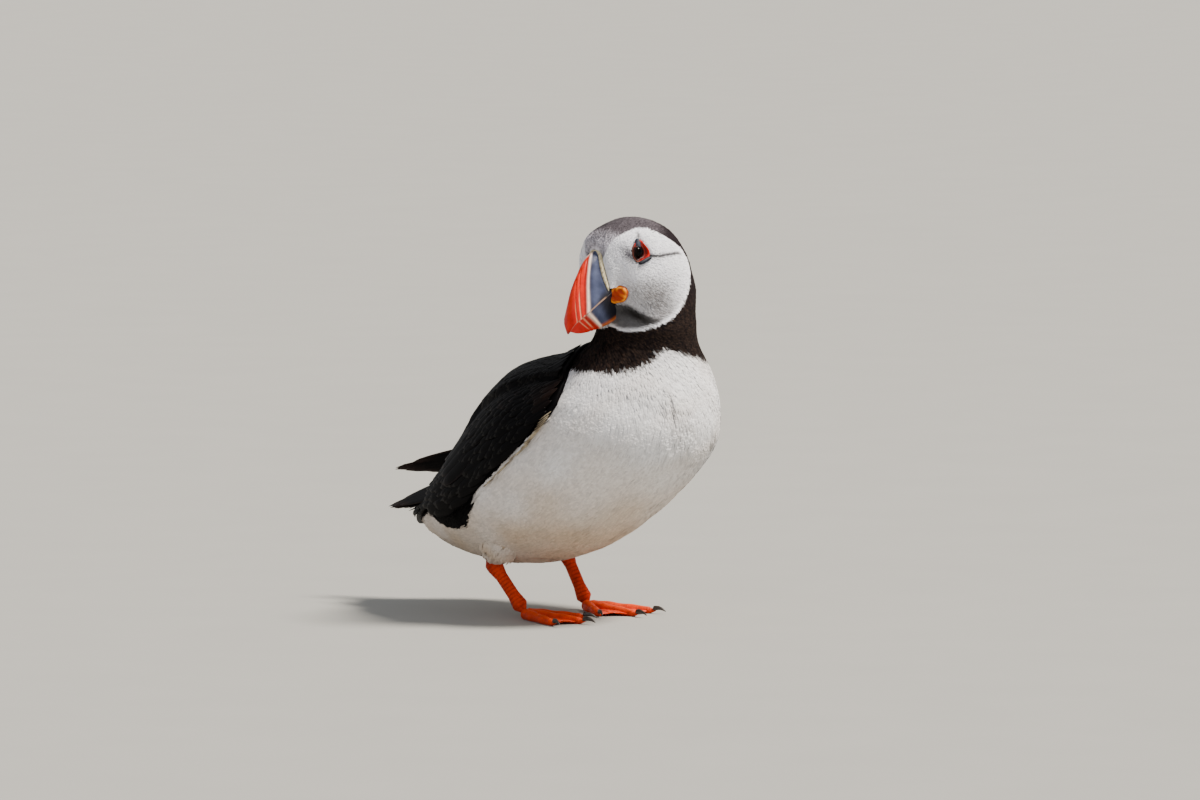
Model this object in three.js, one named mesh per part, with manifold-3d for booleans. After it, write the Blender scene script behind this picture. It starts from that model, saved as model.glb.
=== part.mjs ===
// Atlantic puffin, life size, standing still with its head turned over its right shoulder.
//
// Millimetres, +Z up. The bird faces -Y and its left side is +X. While it is being shaped,
// "forward" distances (-Y) start at the line through its two foot joints and heights start at the
// floor; the group at the end puts the origin under the middle of the whole bird.
// The flesh is one closed loft from the tail coverts to the crown, parted by thin cuts.

import * as THREE from 'three';
import { mergeVertices } from 'three/addons/utils/BufferGeometryUtils.js';
import Module from 'manifold-3d';

const wasm = await Module();
wasm.setup();

// ---------------------------------------------------------------- driving dimensions

const GAP = 0.3;                     // air between two neighbouring pieces
const REACH = 400;                   // larger than the bird, for cutting blocks
const MIDDLE = { x: 0, forward: -6.15 };   // middle of the whole bird, seen from above

const HEAD = {
  centre: { x: -6, forward: 54, up: 168.2 },
  yaw: 95,                           // degrees turned to the bird's right
  pitch: 76.5,                       // of its own up axis above the horizon: it looks 13.5 down
  height: 22.5,                      // from its centre to the crown
};

// Rings of the flesh, from the tail coverts to the throat. Each has the place of its middle, the
// rise of the spine there, how far the spine has turned to the right, and how far the ring
// reaches to the back, to the belly and to each side.
const RINGS = [
  { x: 0, forward: -78, up: 42.5, rise: 14, turn: 0, back: 0, belly: 0, side: 0 },
  { x: 0, forward: -69, up: 41.5, rise: 22, turn: 0, back: 6.5, belly: 10, side: 15 },
  { x: 0, forward: -50, up: 45.2, rise: 28, turn: 0, back: 14.5, belly: 23, side: 28.5 },
  { x: 0, forward: -25.5, up: 49.6, rise: 33, turn: 0, back: 29.5, belly: 31, side: 40 },
  { x: 0, forward: -0.8, up: 62.2, rise: 38, turn: 0, back: 43.5, belly: 39, side: 47 },
  { x: 0, forward: 22.4, up: 77.3, rise: 43, turn: 0, back: 50, belly: 40.5, side: 49.5 },
  { x: 0, forward: 42.2, up: 91.4, rise: 51, turn: 0, back: 46.5, belly: 39, side: 48 },
  { x: 0, forward: 53.9, up: 104.3, rise: 60, turn: 0, back: 39.5, belly: 37.5, side: 42.5 },
  { x: 0, forward: 56.8, up: 119, rise: 70, turn: 4, back: 31, belly: 33.5, side: 33.5 },
  { x: 0, forward: 56.2, up: 132.8, rise: 81, turn: 25, back: 23.5, belly: 24.3, side: 24.8 },
  { x: 0.5, forward: 56.5, up: 141.7, rise: 85, turn: 60, back: 23.5, belly: 24, side: 23 },
  { x: 0, forward: 55, up: 150.7, rise: 80, turn: 90, back: 27, belly: 25, side: 23 },
];

// Rings of the head, by their height over its centre.
const HEAD_RINGS = [
  { over: -10.5, back: 29, belly: 25, side: 22.8 },
  { over: 0, back: 27.1, belly: 24.3, side: 21.8 },
  { over: 0.51 * HEAD.height, back: 20.6, belly: 24.4, side: 19 },
  { over: 0.87 * HEAD.height, back: 10, belly: 21, side: 12.5 },
  { over: HEAD.height, back: 0, belly: 0, side: 0 },
];

// Swell of the face on each side of the bill's base: where it is highest, in degrees from
// straight ahead and in height over the head's centre, how far it spreads, and how much it adds.
const CHEEK = { facing: 43, spread: 20, over: 4, height: 11, swell: 0.11 };

const STEPS_PER_RING = 2;
const FLESH_SIDES = 28;

// Bill, in the head's own frame: [forward, up] of each edge line, and the half width along it.
const BILL = {
  culmen: [[12, 13], [18, 14], [24.4, 13.1], [30.6, 10.1], [36.8, 4.8], [41.4, -0.5],
    [44.7, -5.9], [47.2, -12.5], [48.5, -17], [49.2, -19.6]],
  gape: [[12, -1.5], [20, -3.4], [28, -6], [35.6, -9], [43, -12.4], [46.5, -14.6],
    [48.2, -17.2], [49.1, -19.5]],
  keel: [[12, -19.5], [20, -21.4], [28, -22.2], [37, -21.9], [43.6, -20.6], [48.2, -17.8]],
  halfWidth: [[0, 9.6], [0.3, 9.4], [0.5, 7.4], [0.7, 4.3], [0.88, 1.7], [1, 0.2]],
  culmenShare: 0.22,                 // width of the round ridge, as a share of the gape's
  keelShare: 0.42,
};
const CERE = { proud: 0.9, width: 2.9, bottom: -5.5 };
const ROSETTE = { place: [22.8, 9.9, -7.2], facing: 34, radius: 4.3, depth: 2.4 };
const EYE = { place: [12.1, 15.4, 10.2], radius: 3.2 };
// Bare blue-grey plates round the eye, in the head's frame: [forward, up].
const EYE_PLATES = {
  upper: [[12.1, 13.6], [10.2, 12.4], [8.9, 16.3]],
  lower: [[15, 5.4], [14.4, 6.4], [7.9, 7.7], [7, 7.1], [7.5, 6], [14, 4.7]],
};
const PLATE_THICKNESS = 0.6;

const WING = {
  thickness: 2.3,
  bendSwell: 1.6,
  bendLength: 14,
  rearSwell: 4,
  insideEdge: 1.5,                   // from the midline to its inner edge, over the rump
  insideAngle: 7,                    // degrees that edge leaves the midline, going forward
  shoulder: { from: 110, to: 130, thinner: 0.6 },   // heights where it thins towards the neck
  bendForward: 40,
  rumpForward: -48,
  outline: [[30, 130], [39, 118], [41, 106], [37, 97], [28, 87], [15, 76.5], [2, 66],
    [-12, 57], [-24, 50], [-34, 47.5], [-43, 49], [-48, 56], [-47, 66], [-42, 78], [-26, 145]],
};
const PRIMARIES = {
  left: { root: [26, -22, 76], tip: [4, -101, 62.5] },
  right: { root: [-29, -22, 66], tip: [-13, -91, 46] },
  halfWidth: { left: 12, right: 10 },
  thickness: 2.4,
  cut: -47,                          // forward place where they leave the rest of the wing
};
const TAIL = {
  outline: [[0, -84], [11, -81], [19, -73], [25, -62], [27, -52], [20, -44], [10, -38], [0, -36]],
  depth: 2.6,                        // how far it stands off the rump
  seat: { forward: -60, up: 47, slope: 27 },   // the cut under it
  end: { from: [-68, 51.5], to: [-85, 46.5], halfWidth: 12, thickness: 1.8, sag: 2 },
};

const LEG = {
  ankle: { left: [21, -12, 29.5], right: [-23, -19.5, 26.4] },
  joint: { left: [23, 0, 4.8], right: [-23, 0, 4.8] },
  inside: { left: [24, 2, 50], right: [-25, -6, 46] },
  turn: { left: -10, right: 0 },     // degrees the foot points outwards
  shaft: 2.5, knob: 3.5, foot: 3.3, thigh: 12,
  depth: 1.2,                        // fore and aft size against the width
};
const TOES = {
  inner: { angle: -27, length: 31, claw: 5 },
  middle: { angle: 0, length: 39, claw: 6 },
  outer: { angle: 25, length: 37, claw: 5 },
};
const TOE = { radius: 2.9, tipRadius: 1.7, sole: 0.35, claw: 1.3 };
const WEB = { thickness: 1.1, under: 0.6, inset: 0.1 };

const PAINT = {
  white: { color: 0xf2f2f6, roughness: 0.85, metalness: 0 },
  black: { color: 0x151215, roughness: 0.7, metalness: 0 },
  face: { color: 0xe4e4ec, roughness: 0.85, metalness: 0 },
  collar: { color: 0x2a2124, roughness: 0.85, metalness: 0 },
  billRed: { color: 0xf2431e, roughness: 0.4, metalness: 0 },
  cere: { color: 0xd8cfa8, roughness: 0.6, metalness: 0 },
  rosette: { color: 0xf29a12, roughness: 0.5, metalness: 0 },
  eye: { color: 0x0b0a0c, roughness: 0.08, metalness: 0 },
  plate: { color: 0x3c4250, roughness: 0.5, metalness: 0 },
  leg: { color: 0xe8481c, roughness: 0.5, metalness: 0 },
  web: { color: 0xd83a18, roughness: 0.55, metalness: 0 },
  claw: { color: 0x1a1614, roughness: 0.4, metalness: 0 },
};

// ---------------------------------------------------------------- frames and curves

const radians = THREE.MathUtils.degToRad;

function place(x, forward, up) {
  return new THREE.Vector3(x, -forward, up);
}

// The spine's direction, the belly's direction and the left side, for a rise and a turn.
function frameOf(rise, turn) {
  const heading = place(-Math.sin(radians(turn)), Math.cos(radians(turn)), 0);
  const spine = heading.clone().multiplyScalar(Math.cos(radians(rise)));
  spine.z = Math.sin(radians(rise));
  const belly = heading.clone().multiplyScalar(Math.sin(radians(rise)));
  belly.z = -Math.cos(radians(rise));
  const left = place(Math.cos(radians(turn)), Math.sin(radians(turn)), 0);
  return { spine, belly, left };
}

const headFrame = frameOf(HEAD.pitch, HEAD.yaw);
const headCentre = place(HEAD.centre.x, HEAD.centre.forward, HEAD.centre.up);

// A point given in the head's own frame: forward, to its left, up.
function headPlace(forward, left, up) {
  return headCentre.clone()
    .addScaledVector(headFrame.belly, forward)
    .addScaledVector(headFrame.left, left)
    .addScaledVector(headFrame.spine, up);
}

function allRings() {
  const head = HEAD_RINGS.map((ring) => {
    const middle = headPlace(0, 0, ring.over);
    return {
      ...ring, x: middle.x, forward: -middle.y, up: middle.z, rise: HEAD.pitch, turn: HEAD.yaw,
    };
  });
  return [...RINGS, ...head];
}

// Uniform Catmull-Rom blend of four values.
function blend(a, b, c, d, t) {
  return b + 0.5 * t * (c - a + t * (2 * a - 5 * b + 4 * c - d + t * (3 * (b - c) + d - a)));
}

// The value of a list at a place from 0 to 1; past its ends the list is mirrored.
function along(list, share, sign) {
  const at = Math.min(share * (list.length - 1), list.length - 1 - 1e-9);
  const i = Math.floor(at);
  const before = i > 0 ? list[i - 1] : sign * list[1];
  const after = i + 2 < list.length ? list[i + 2] : sign * list[list.length - 2];
  return blend(before, list[i], list[i + 1], after, at - i);
}

// Straight-line reading of [place, value] pairs.
function reading(pairs, at) {
  const next = pairs.findIndex(([start]) => start > at);
  if (next < 0) return pairs[pairs.length - 1][1];
  if (next === 0) return pairs[0][1];
  const [x0, y0] = pairs[next - 1];
  const [x1, y1] = pairs[next];
  return THREE.MathUtils.mapLinear(at, x0, x1, y0, y1);
}

// ---------------------------------------------------------------- solids

// Closed shape over a grid: share runs from one pole to the other, angle goes round.
function loft(steps, sides, pointAt) {
  const shape = new THREE.SphereGeometry(1, sides, steps);
  const uv = shape.attributes.uv;
  for (let i = 0; i < uv.count; i++) {
    const point = pointAt(1 - uv.getY(i), 2 * Math.PI * uv.getX(i));
    shape.attributes.position.setXYZ(i, point.x, point.y, point.z);
  }
  return outward(shape);
}

// Merges the shared points and turns the faces out.
function outward(shape) {
  shape.deleteAttribute('normal');
  shape.deleteAttribute('uv');
  const merged = mergeVertices(shape, 1e-4);
  const index = merged.index;
  const p = [new THREE.Vector3(), new THREE.Vector3(), new THREE.Vector3()];
  let volume = 0;
  for (let i = 0; i < index.count; i += 3) {
    p.forEach((v, k) => v.fromBufferAttribute(merged.attributes.position, index.getX(i + k)));
    volume += p[0].dot(p[1].clone().cross(p[2]));
  }
  if (volume < 0) {
    for (let i = 0; i < index.count; i += 3) {
      const first = index.getX(i);
      index.setX(i, index.getX(i + 1));
      index.setX(i + 1, first);
    }
  }
  merged.computeVertexNormals();
  return merged;
}

// The same shape with every point moved out along its normal by a distance, or by a function.
function grown(shape, distance) {
  const result = shape.clone();
  const point = new THREE.Vector3();
  const normal = new THREE.Vector3();
  for (let i = 0; i < shape.attributes.position.count; i++) {
    point.fromBufferAttribute(shape.attributes.position, i);
    normal.fromBufferAttribute(shape.attributes.normal, i);
    point.addScaledVector(normal, typeof distance === 'function' ? distance(point) : distance);
    result.attributes.position.setXYZ(i, point.x, point.y, point.z);
  }
  return result;
}

function solid(shape) {
  return new wasm.Manifold(new wasm.Mesh({
    numProp: 3,
    vertProperties: new Float32Array(shape.attributes.position.array),
    triVerts: new Uint32Array(shape.index.array),
  }));
}

// The part of a solid that lies past a plane, which goes through a point.
function beyond(body, normal, point, margin = GAP / 2) {
  const n = normal.clone().normalize();
  return body.trimByPlane(n.toArray(), n.dot(point) + margin);
}

// The biggest single body of a solid.
function mainBody(body) {
  return body.decompose().reduce((best, one) => (one.volume() > best.volume() ? one : best));
}

const group = new THREE.Group();

function add(name, body, paint) {
  const mesh = mainBody(body).getMesh();
  const shape = new THREE.BufferGeometry();
  shape.setAttribute('position', new THREE.BufferAttribute(mesh.vertProperties, 3));
  shape.setIndex(new THREE.BufferAttribute(mesh.triVerts, 1));
  const node = new THREE.Mesh(shape, new THREE.MeshStandardMaterial(paint));
  node.name = name;
  group.add(node);
}

// ---------------------------------------------------------------- flesh

// How much further the face reaches at a height over the head's centre and an angle round it.
function cheekSwell(over, angle) {
  const turn = THREE.MathUtils.radToDeg(angle > Math.PI ? 2 * Math.PI - angle : angle);
  return CHEEK.swell * Math.exp(-(((turn - CHEEK.facing) / CHEEK.spread) ** 2)
    - ((over - CHEEK.over) / CHEEK.height) ** 2);
}

function fleshShape() {
  const rings = allRings();
  const column = (key) => rings.map((ring) => ring[key]);
  const columns = Object.fromEntries(
    ['x', 'forward', 'up', 'rise', 'turn', 'back', 'belly', 'side'].map((key) => [key, column(key)]));
  const isReach = { back: true, belly: true, side: true };
  const value = (key, share) => along(columns[key], share, isReach[key] ? -1 : 1);
  const steps = STEPS_PER_RING * (rings.length - 1);
  return loft(steps, FLESH_SIDES, (share, angle) => {
    const { belly, left } = frameOf(value('rise', share), value('turn', share));
    const c = Math.cos(angle);
    const reach = value(c > 0 ? 'belly' : 'back', share);
    const middle = place(value('x', share), value('forward', share), value('up', share));
    const over = middle.clone().sub(headCentre).dot(headFrame.spine);
    const more = 1 + cheekSwell(over, angle);
    return middle
      .addScaledVector(belly, more * reach * c)
      .addScaledVector(left, more * value('side', share) * Math.sin(angle));
  });
}

const fleshForm = fleshShape();
const flesh = solid(fleshForm);
const fleshClear = solid(grown(fleshForm, GAP));

// Thin cuts through the whole flesh, as [a point on the cut, the way to its far side].
const CUTS = {
  head: [headPlace(0, 0, -17), headFrame.spine],
  neck: [place(0, 56.6, 121), frameOf(72, 10).spine],
  breast: [place(0, 38, 87), frameOf(46, 0).spine],
  rump: [place(0, -46, 49), frameOf(26, 0).spine],
  back: [place(0, 2, 68), frameOf(38, 0).belly.negate()],
};

function past(body, cut) {
  return beyond(body, CUTS[cut][1], CUTS[cut][0]);
}

function before(body, cut) {
  return beyond(body, CUTS[cut][1].clone().negate(), CUTS[cut][0]);
}

// ---------------------------------------------------------------- tail and wings

// Closed thin sheet: across runs from -1 to 1, share from the root to the tips.
function sheet(across, lengths, pointAt) {
  const shape = new THREE.BoxGeometry(2, 1, 1, across, lengths, 1);
  const p = shape.attributes.position;
  for (let i = 0; i < p.count; i++) {
    const point = pointAt(p.getX(i), p.getY(i) + 0.5, p.getZ(i));
    p.setXYZ(i, point.x, point.y, point.z);
  }
  return outward(shape);
}

// Block whose outline is drawn in the plane of two directions, pushed out along a third.
function prism(outline, depth, pointAt) {
  const shape = new THREE.Shape(outline.map(([a, b]) => new THREE.Vector2(a, b)));
  const body = new THREE.ExtrudeGeometry(shape, { depth, bevelEnabled: false });
  const p = body.attributes.position;
  for (let i = 0; i < p.count; i++) {
    const point = pointAt(p.getX(i), p.getY(i), p.getZ(i));
    p.setXYZ(i, point.x, point.y, point.z);
  }
  return solid(outward(body));
}

function smoothOutline(points, count) {
  const curve = new THREE.CatmullRomCurve3(
    points.map(([a, b]) => new THREE.Vector3(a, b, 0)), true, 'centripetal');
  return curve.getPoints(count).slice(0, -1).map((p) => [p.x, p.y]);
}

// How far the folded wing stands off the flesh: most at the bend and over the rump, least at
// the shoulder.
function wingDepth(point) {
  const forward = -point.y;
  const bend = Math.exp(-(((forward - WING.bendForward) / WING.bendLength) ** 2));
  const rear = THREE.MathUtils.smoothstep(-forward, 5, -WING.rumpForward);
  const { from, to, thinner } = WING.shoulder;
  const thin = 1 - thinner * THREE.MathUtils.smoothstep(point.z, from, to);
  return GAP + (WING.thickness + WING.bendSwell * bend) * thin + WING.rearSwell * rear;
}

// Dagger of the folded primaries, from the wing to their tip.
function primariesShape(side, sign) {
  const root = place(...PRIMARIES[side].root);
  const tip = place(...PRIMARIES[side].tip);
  const across = new THREE.Vector3(sign, 0, -1).normalize();
  const flat = tip.clone().sub(root).cross(across).normalize();
  return loft(8, 8, (share, angle) => {
    const taper = Math.sqrt(Math.sin(Math.PI * share ** 0.4)) * (1 - 0.55 * share);
    return root.clone().lerp(tip, share)
      .addScaledVector(across, PRIMARIES.halfWidth[side] * taper * Math.cos(angle))
      .addScaledVector(flat, (PRIMARIES.thickness / 2) * taper * Math.sin(angle));
  });
}

// Fan that lies on the rump, and its free end past the flesh.
function tailSolid(more) {
  const mirrored = TAIL.outline.slice(1, -1).reverse().map(([x, forward]) => [-x, forward]);
  const fan = prism(smoothOutline([...TAIL.outline, ...mirrored], 36), REACH, place);
  const lying = solid(grown(fleshForm, GAP + TAIL.depth + more)).intersect(fan);
  const { forward, up, slope } = TAIL.seat;
  const seat = beyond(lying, frameOf(slope, 0).belly.negate(), place(0, forward, up));
  const { from, to, halfWidth, thickness, sag } = TAIL.end;
  const end = sheet(4, 3, (across, share, face) => place(
    across * (halfWidth + more) * (1 - 0.5 * share ** 2),
    THREE.MathUtils.lerp(from[0], to[0] - more, share) + 3 * across ** 2 * share,
    THREE.MathUtils.lerp(from[1], to[1], share) + face * (thickness + 2 * more)
      - sag * across ** 2));
  return seat.add(solid(end));
}

const tail = tailSolid(0).subtract(fleshClear);
const tailClear = tailSolid(GAP);

function wingSolid(side, sign) {
  const slope = Math.tan(radians(WING.insideAngle));
  const cutter = prism(smoothOutline(WING.outline, 36), REACH / 4, (forward, up, out) => {
    const inside = WING.insideEdge + slope * (forward - WING.rumpForward);
    return place(sign * (inside + out), forward, up);
  });
  return solid(grown(fleshForm, wingDepth))
    .intersect(cutter)
    .add(solid(primariesShape(side, sign)))
    .subtract(fleshClear)
    .subtract(tailClear);
}

// ---------------------------------------------------------------- bill and face

function edgeCurve(points) {
  return new THREE.SplineCurve(points.map(([a, b]) => new THREE.Vector2(a, b)));
}

// Half of the bill: from its ridge, which is narrow and round, out to the flat gape.
function billShape(ridge, ridgeShare) {
  const ridgeCurve = edgeCurve(ridge);
  const gapeCurve = edgeCurve(BILL.gape);
  const corner = (6 / 7) * Math.PI;
  return loft(14, 14, (share, angle) => {
    const open = Math.min(1, share / 0.04, (1 - share) / 0.03);
    const fold = angle <= Math.PI ? angle : 2 * Math.PI - angle;
    const side = angle <= Math.PI ? 1 : -1;
    const toGape = Math.min(1, fold / corner) ** 1.4;
    const round = Math.sqrt(1 - (1 - Math.min(1, toGape / 0.16)) ** 2);
    const under = Math.min(1, (Math.PI - fold) / (Math.PI - corner));
    const half = reading(BILL.halfWidth, share) * (ridgeShare + (1 - ridgeShare) * toGape);
    const top = ridgeCurve.getPoint(share);
    const bottom = gapeCurve.getPoint(share);
    const middle = top.clone().lerp(bottom, 0.5);
    const at = middle.clone().lerp(top.clone().lerp(bottom, toGape), open);
    return headPlace(at.x, side * half * round * under * open, at.y);
  });
}

const upperForm = billShape(BILL.culmen, BILL.culmenShare);
const upperClear = solid(grown(upperForm, GAP));
const lowerForm = billShape(BILL.keel, BILL.keelShare);
const lowerClear = solid(grown(lowerForm, GAP));

const cereClear = solid(grown(upperForm, CERE.proud + 2 * GAP));

function cereSolid() {
  const band = solid(grown(upperForm, GAP + CERE.proud)).subtract(upperClear);
  const nearFace = band.intersect(solid(grown(fleshForm, CERE.width)));
  return beyond(nearFace.subtract(fleshClear).subtract(lowerClear), headFrame.spine, headPlace(0, 0, CERE.bottom));
}

// Round cushion in the head's frame, facing an angle from straight ahead towards one side.
function cushion([forward, left, up], facing, radius, depth) {
  const c = Math.cos(radians(facing));
  const s = Math.sin(radians(facing));
  return loft(8, 12, (share, angle) => {
    const out = depth * Math.cos(Math.PI * share);
    const flat = radius * Math.sin(Math.PI * share) * Math.cos(angle);
    const rise = radius * Math.sin(Math.PI * share) * Math.sin(angle);
    return headPlace(forward + out * c - flat * s, left + out * s + flat * c, up + rise);
  });
}

function rosetteSolid(sign) {
  const [forward, left, up] = ROSETTE.place;
  return solid(cushion([forward, sign * left, up], sign * ROSETTE.facing, ROSETTE.radius,
    ROSETTE.depth));
}

function eyeSolid(sign, more) {
  const [forward, left, up] = EYE.place;
  const radius = EYE.radius + more;
  return solid(cushion([forward, sign * left, up], sign * 90, radius, radius));
}

const faceSkin = solid(grown(fleshForm, GAP + PLATE_THICKNESS)).subtract(fleshClear);

function plateSolid(outline, sign) {
  const cutter = prism(outline, 30, (forward, up, out) => headPlace(forward, sign * (8 + out), up));
  return faceSkin.intersect(cutter).subtract(eyeSolid(sign, GAP));
}

// ---------------------------------------------------------------- legs and feet

// Round limb from one place to another, with its radius by share of the length.
function limb(from, to, radii, steps, sides, more = 0) {
  const direction = to.clone().sub(from);
  const length = direction.length();
  direction.normalize();
  const ahead = place(0, 1, 0).cross(direction).normalize();
  const level = direction.clone().cross(ahead).normalize();
  return loft(steps, sides, (share, angle) => {
    const polar = Math.PI * share;
    const endRound = Math.min(1, Math.sin(polar) * 2.2);
    const radius = (reading(radii, share) + more) * endRound;
    return from.clone()
      .addScaledVector(direction, (length + 2 * more) * share - more)
      .addScaledVector(ahead, radius * Math.cos(angle))
      .addScaledVector(level, radius * LEG.depth * Math.sin(angle));
  });
}

function onFloor(body) {
  return body.trimByPlane([0, 0, 1], 0);
}

function tarsusShape(side, more) {
  const ankle = place(...LEG.ankle[side]);
  const joint = place(...LEG.joint[side]);
  const past = joint.clone().sub(ankle).normalize().multiplyScalar(LEG.knob);
  return limb(ankle.clone().sub(past), joint.clone().add(past),
    [[0, LEG.knob], [0.22, LEG.knob], [0.38, LEG.shaft], [0.68, LEG.shaft], [0.86, LEG.foot],
      [1, LEG.foot]], 10, 8, more);
}

function thighSolid(side) {
  const ankle = place(...LEG.ankle[side]);
  const inside = place(...LEG.inside[side]);
  const cone = limb(inside, ankle, [[0, LEG.thigh], [0.6, LEG.thigh * 0.8], [1, LEG.knob * 1.3]], 8, 10);
  return solid(cone).subtract(fleshClear).subtract(solid(tarsusShape(side, GAP)));
}

function toePoint(side, toe, share) {
  const { angle, length } = TOES[toe];
  const sign = side === 'left' ? 1 : -1;
  const turn = radians(LEG.turn[side] + angle);
  const joint = place(...LEG.joint[side]);
  const radius = THREE.MathUtils.lerp(TOE.radius, TOE.tipRadius, share);
  const knuckles = 1 + 0.07 * Math.cos(6 * Math.PI * share);
  const direction = place(sign * Math.sin(turn), Math.cos(turn), 0);
  const middle = joint.clone().addScaledVector(direction, length * share);
  middle.z = radius - TOE.sole;
  return { middle, direction, radius: radius * knuckles };
}

function toeShape(side, toe, more) {
  return loft(8, 8, (share, angle) => {
    const { middle, direction, radius } = toePoint(side, toe, share);
    const endRound = Math.min(1, Math.sin(Math.PI * share) * 3);
    const across = direction.clone().cross(new THREE.Vector3(0, 0, 1));
    return middle
      .addScaledVector(direction, more * (2 * share - 1))
      .addScaledVector(across, (radius + more) * endRound * Math.cos(angle))
      .add(new THREE.Vector3(0, 0, (radius + more) * endRound * Math.sin(angle)));
  });
}

function clawShape(side, toe) {
  const { middle, direction } = toePoint(side, toe, 1);
  const across = direction.clone().cross(new THREE.Vector3(0, 0, 1));
  return loft(5, 6, (share, angle) => {
    const radius = TOE.claw * Math.sqrt(1 - share) * Math.min(1, share / 0.1);
    const rise = 0.9 + 1.1 * Math.sin(Math.PI * share * 0.7) - 1.9 * share ** 2;
    return middle.clone()
      .addScaledVector(direction, (TOES[toe].claw + 2) * share - 2)
      .addScaledVector(across, 0.8 * radius * Math.cos(angle))
      .add(new THREE.Vector3(0, 0, rise + radius * Math.sin(angle)));
  });
}

// Web between the middle toe and a side toe, drawn in at its free edge.
function webShape(side, toe) {
  return sheet(3, 4, (across, share, face) => {
    const t = (across + 1) / 2;
    const reach = 0.93 * share * (1 - WEB.inset * 4 * t * (1 - t));
    const point = toePoint(side, 'middle', reach).middle.lerp(toePoint(side, toe, reach).middle, t);
    point.z = WEB.under + WEB.thickness * (face + 0.5) + 0.6 * Math.sin(Math.PI * t) * share;
    return point;
  });
}

// ---------------------------------------------------------------- the bird

let trunk = before(flesh, 'neck');
for (const side of ['left', 'right']) trunk = trunk.subtract(solid(tarsusShape(side, GAP)));
const middleTrunk = past(before(trunk, 'breast'), 'rump');
const SIDES = { left: 1, right: -1 };

let head = past(flesh, 'head');
for (const sign of Object.values(SIDES)) head = head.subtract(eyeSolid(sign, GAP));
add('head', head, PAINT.face);
add('neck', before(past(flesh, 'neck'), 'head'), PAINT.collar);
add('breast', past(trunk, 'breast'), PAINT.white);
add('back', past(middleTrunk, 'back'), PAINT.black);
add('belly', before(middleTrunk, 'back'), PAINT.white);
add('rump', before(trunk, 'rump'), PAINT.white);
add('tail', tail, PAINT.black);

add('bill_upper', solid(upperForm).subtract(fleshClear), PAINT.billRed);
add('bill_lower', solid(lowerForm).subtract(fleshClear).subtract(upperClear), PAINT.billRed);
add('cere', cereSolid(), PAINT.cere);

for (const [side, sign] of Object.entries(SIDES)) {
  const wing = wingSolid(side, sign);
  const cut = place(0, PRIMARIES.cut, 0);
  add(`wing_${side}`, beyond(wing, place(0, 1, 0), cut), PAINT.black);
  add(`primaries_${side}`, beyond(wing, place(0, -1, 0), cut), PAINT.black);

  const rosette = rosetteSolid(sign).subtract(fleshClear).subtract(cereClear).subtract(lowerClear);
  add(`rosette_${side}`, rosette, PAINT.rosette);
  add(`eye_${side}`, eyeSolid(sign, 0), PAINT.eye);
  for (const [name, outline] of Object.entries(EYE_PLATES)) {
    add(`eye_plate_${name}_${side}`, plateSolid(outline, sign), PAINT.plate);
  }

  const tarsusClear = solid(tarsusShape(side, GAP));
  add(`thigh_${side}`, thighSolid(side), PAINT.white);
  add(`tarsus_${side}`, onFloor(solid(tarsusShape(side, 0))), PAINT.leg);
  const middleClear = solid(toeShape(side, 'middle', GAP));
  for (const toe of Object.keys(TOES)) {
    let body = onFloor(solid(toeShape(side, toe, 0))).subtract(tarsusClear);
    if (toe !== 'middle') body = body.subtract(middleClear);
    add(`toe_${toe}_${side}`, body, PAINT.leg);
    const claw = onFloor(solid(clawShape(side, toe)));
    add(`claw_${toe}_${side}`, claw.subtract(solid(toeShape(side, toe, GAP))), PAINT.claw);
    if (toe !== 'middle') {
      const web = solid(webShape(side, toe)).subtract(tarsusClear).subtract(middleClear)
        .subtract(solid(toeShape(side, toe, GAP)));
      add(`web_${toe}_${side}`, web, PAINT.web);
    }
  }
}

group.position.set(-MIDDLE.x, MIDDLE.forward, 0);

export default group;
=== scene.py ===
"""Atlantic puffin, life size, with its head turned over its right shoulder.

One skin stands for the flesh of the CAD part. A coat of small closed feathers lies on it, the
wings and the tail are built from single feathers, and the bill, eyes, legs and feet are finer
surfaces of the same forms as the solids. Lengths are in millimetres until a mesh is made.
While the bird is shaped, "forward" starts at the line through its foot joints, and the bird
faces -Y with its left side at +X.
"""

import bpy
import numpy as np
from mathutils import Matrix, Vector


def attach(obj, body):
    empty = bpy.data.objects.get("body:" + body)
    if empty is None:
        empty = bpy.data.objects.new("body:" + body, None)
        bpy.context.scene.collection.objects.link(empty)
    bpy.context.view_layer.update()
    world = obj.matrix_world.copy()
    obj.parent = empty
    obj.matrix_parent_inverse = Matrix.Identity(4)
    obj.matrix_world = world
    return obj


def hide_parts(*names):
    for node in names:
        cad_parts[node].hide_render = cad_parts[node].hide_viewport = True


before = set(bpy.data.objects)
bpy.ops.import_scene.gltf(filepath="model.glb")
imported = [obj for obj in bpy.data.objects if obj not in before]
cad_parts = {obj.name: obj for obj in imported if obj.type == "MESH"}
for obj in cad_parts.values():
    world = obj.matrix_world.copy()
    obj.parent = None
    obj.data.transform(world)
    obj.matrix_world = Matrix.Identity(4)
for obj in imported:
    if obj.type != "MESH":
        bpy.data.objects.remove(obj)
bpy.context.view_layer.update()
rng = np.random.default_rng(11)

MM = 0.001
TAU = 2 * np.pi


def shown(name, data):
    """New object of the scene that holds a mesh, a lamp or the camera."""
    made = bpy.data.objects.new(name, data)
    bpy.context.collection.objects.link(made)
    return made


# ---------------------------------------------------------------- camera

AIM = (-5.6, -39.2, 103.6)           # middle of the view
AZIMUTH = -50                        # degrees round the bird, from straight ahead of it
ELEVATION = 5
LENS = 250
SENSOR = 36
VIEW_WIDTH = 560.7                   # width of the view at the bird
FARTHEST = 100                       # metres to the end of what is drawn

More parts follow.
